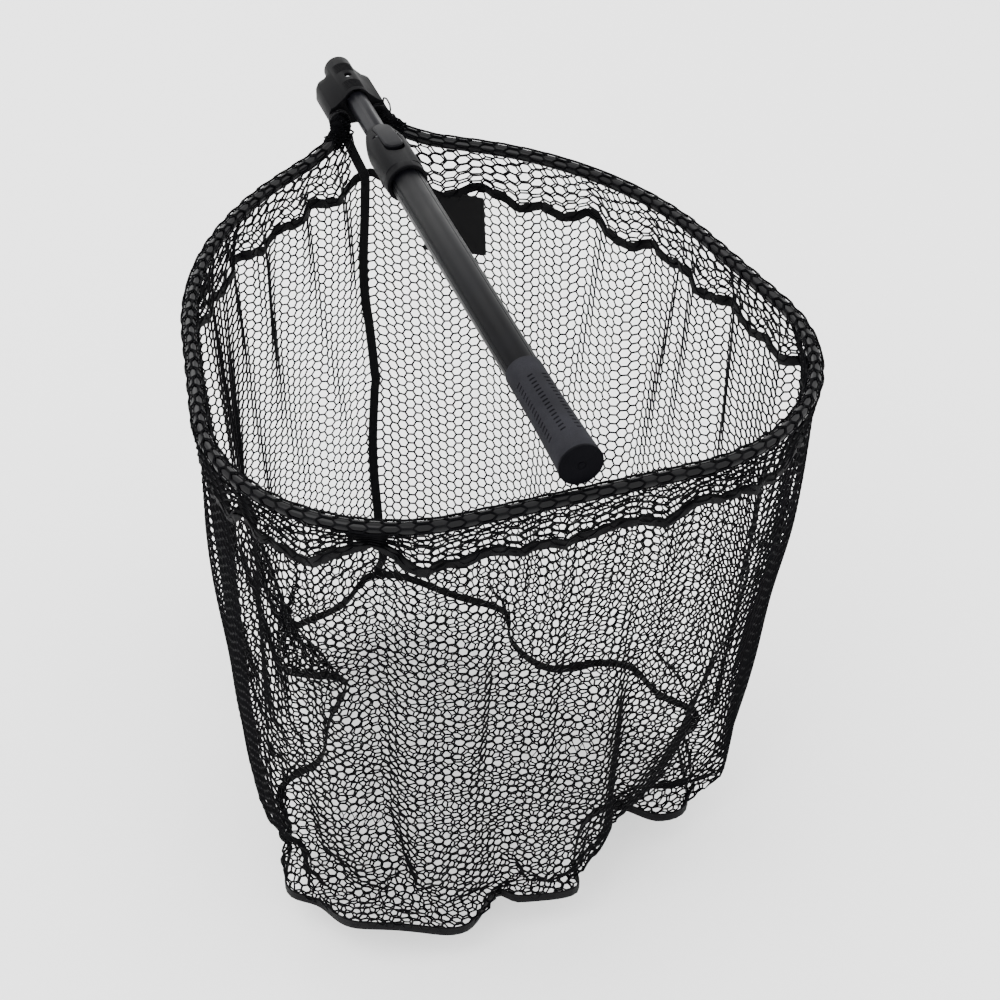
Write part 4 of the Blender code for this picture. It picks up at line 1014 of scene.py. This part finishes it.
def neck_skin(along, turn, radius, side):
    """Points round a neck, at lengths along it, angles round it and radii."""
    centre = neck_place(along)
    ahead = neck_place(along + 0.001) - neck_place(along - 0.001)
    ahead /= np.linalg.norm(ahead, axis=1, keepdims=True)
    level = np.cross(ahead, np.array([0.0, 0.0, 1.0]))
    level /= np.linalg.norm(level, axis=1, keepdims=True)
    above = np.cross(level, ahead)
    place = centre + radius[:, None] * (level * np.cos(turn)[:, None]
                                        + above * np.sin(turn)[:, None])
    place[:, 0] *= side
    return place


for side, name in ((1, "right"), (-1, "left")):
    bunch_points, bunch_cells, offset = [], [], 0
    for layer, phase in ((0, 0.3), (1, 2.1)):
        across, down, cells = honeycomb(*BUNCH_CELLS, wrap_across=True)
        turn = across * 2 * math.pi + phase + 3.5 * down * layer
        puff = (HOOP_R + 0.0014 + 0.0022 * layer
                + 0.0007 * np.sin(3 * turn + 9 * down + phase) + 0.0006 * np.sin(23 * down + turn))
        bunch_points.append(neck_skin(BUNCH_START + down * BUNCH_LONG, turn, puff, side))
        bunch_cells += [[i + offset for i in cell] for cell in cells]
        offset += len(across)
    bunch = netting(f"neck_bunch_{name}", np.concatenate(bunch_points), bunch_cells,
                    BUNCH_THREAD)
    finish_piece(bunch, net_coat, "net_mesh", "head", smooth=60)

# %% Lashings and the loop
CORD_D = 0.0018
WRAPS = 3
LASH_START = 0.0365
LASH_R = HOOP_R + 0.0038
KNOT_SIZE = 0.0011
LOOP_POINTS = [(0.0262, 0.6160, -0.0080), (0.0300, 0.6260, -0.0060), (0.0335, 0.6270, -0.0080),
               (0.0350, 0.6210, -0.0120), (0.0335, 0.6140, -0.0150), (0.0290, 0.6090, -0.0140)]
for side, name in ((1, "right"), (-1, "left")):
    at = np.linspace(0, 1, WRAPS * 20)
    wraps = neck_skin(LASH_START + at * WRAPS * CORD_D * 1.05, at * WRAPS * 2 * math.pi,
                      np.full(len(at), LASH_R), side)
    if side == 1:
        wraps = np.concatenate([wraps[::2], evenly(np.array(LOOP_POINTS), 24, False)])
        wraps = evenly(wraps, 120, False)
    facing = np.tile(np.array([0.0, 0.0, 1.0]) + 0.2, (len(wraps), 1))
    tie = sweep(f"neck_lashing_{name}", wraps, facing, round_outline(CORD_D / 2, 10))
    finish_piece(tie, cord_braid, "tie_cord", "head", f"tie_cord_{name}", smooth=60)
    print(name, "lashing:", round(float(np.linalg.norm(np.diff(wraps, axis=0), axis=1).sum()), 3))
knot_at = np.array(LOOP_POINTS[-1])
t = np.linspace(0, 1, 60)
trefoil = np.column_stack([np.sin(2 * math.pi * t) + 2 * np.sin(4 * math.pi * t),
                           np.cos(2 * math.pi * t) - 2 * np.cos(4 * math.pi * t),
                           -np.sin(6 * math.pi * t)]) * KNOT_SIZE + knot_at
knot = sweep("loop_knot", trefoil[:-1], np.tile([0.3, 0.2, 1.0], (59, 1)),
             round_outline(CORD_D / 2, 10), closed=True)
finish_piece(knot, cord_braid, "tie_cord", "head", smooth=60)

# %% [markdown]
# Round the snap button's hole the barrel has fine raised ridges for the thumb. One ridge is an
# arc of thin wire that is half sunk in the barrel; the others are copies along it.

# %% Thumb ridges on the barrel
BARREL_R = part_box("yoke")[1].z
RIDGE_SPAN = math.radians(44)
RIDGE_R, RIDGE_SINK, RIDGE_POINTS = 0.0006, 0.0008, 18
RIDGE_YS = [0.6250, 0.6275, 0.6300, 0.6325, 0.6350, 0.6375, 0.6590, 0.6615, 0.6640, 0.6665,
            0.6690, 0.6715]
angles = np.linspace(-RIDGE_SPAN, RIDGE_SPAN, RIDGE_POINTS)
ridges = []
for y in RIDGE_YS:
    arc = np.column_stack([BARREL_R * np.sin(angles), np.full(RIDGE_POINTS, y),
                           BARREL_R * np.cos(angles)])
    arc[:, 2] -= RIDGE_SINK * (np.abs(angles) / RIDGE_SPAN) ** 6
    ridges.append(sweep("ridge", arc, arc * np.array([1.0, 0.0, 1.0]), round_outline(RIDGE_R, 8)))
ridges = joined(ridges)
ridges.name = "barrel_thumb_ridges"
finish_piece(ridges, nylon_black, "moulded_black", "head", smooth=60)

# %% [markdown]
# The label is a blank strip of satin ribbon, folded and stitched into the band so that it hangs
# inside the bag. It bows a little and its free lower edge curls.

# %% Blank label
tag_low, tag_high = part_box("label_tag")
TAG_ACROSS, TAG_DOWN = 24, 28
TAG_THICK = 0.0006
TAG_SHIFT = 0.010
TAG_BOW, TAG_CURL = 0.0022, 0.0035
tag_rows = []
for row in range(TAG_DOWN + 1):
    v = row / TAG_DOWN
    tag_row = []
    for column in range(TAG_ACROSS + 1):
        u = column / TAG_ACROSS
        x = tag_low.x + TAG_SHIFT + u * (tag_high.x - tag_low.x)
        y = tag_high.y - u * (tag_high.y - tag_low.y) * 0.72 - v * (tag_high.y - tag_low.y) * 0.25
        bow = (TAG_BOW * math.sin(math.pi * u) * (1 - v)
               - TAG_CURL * v ** 2 * math.cos(2.2 * u))
        tag_row.append((x, y + bow, tag_high.z - v * (tag_high.z - tag_low.z)))
    tag_rows.append(tag_row)
tag = grid_mesh("blank_label", np.array(tag_rows), closed=False)
ribbon = tag.modifiers.new("thickness", "SOLIDIFY")
ribbon.thickness = TAG_THICK
ribbon.offset = 0
ribbon.use_rim = True
apply_all(tag)
finish_piece(tag, tag_weave, "tag_cloth", "head", "label_tag", smooth=60)
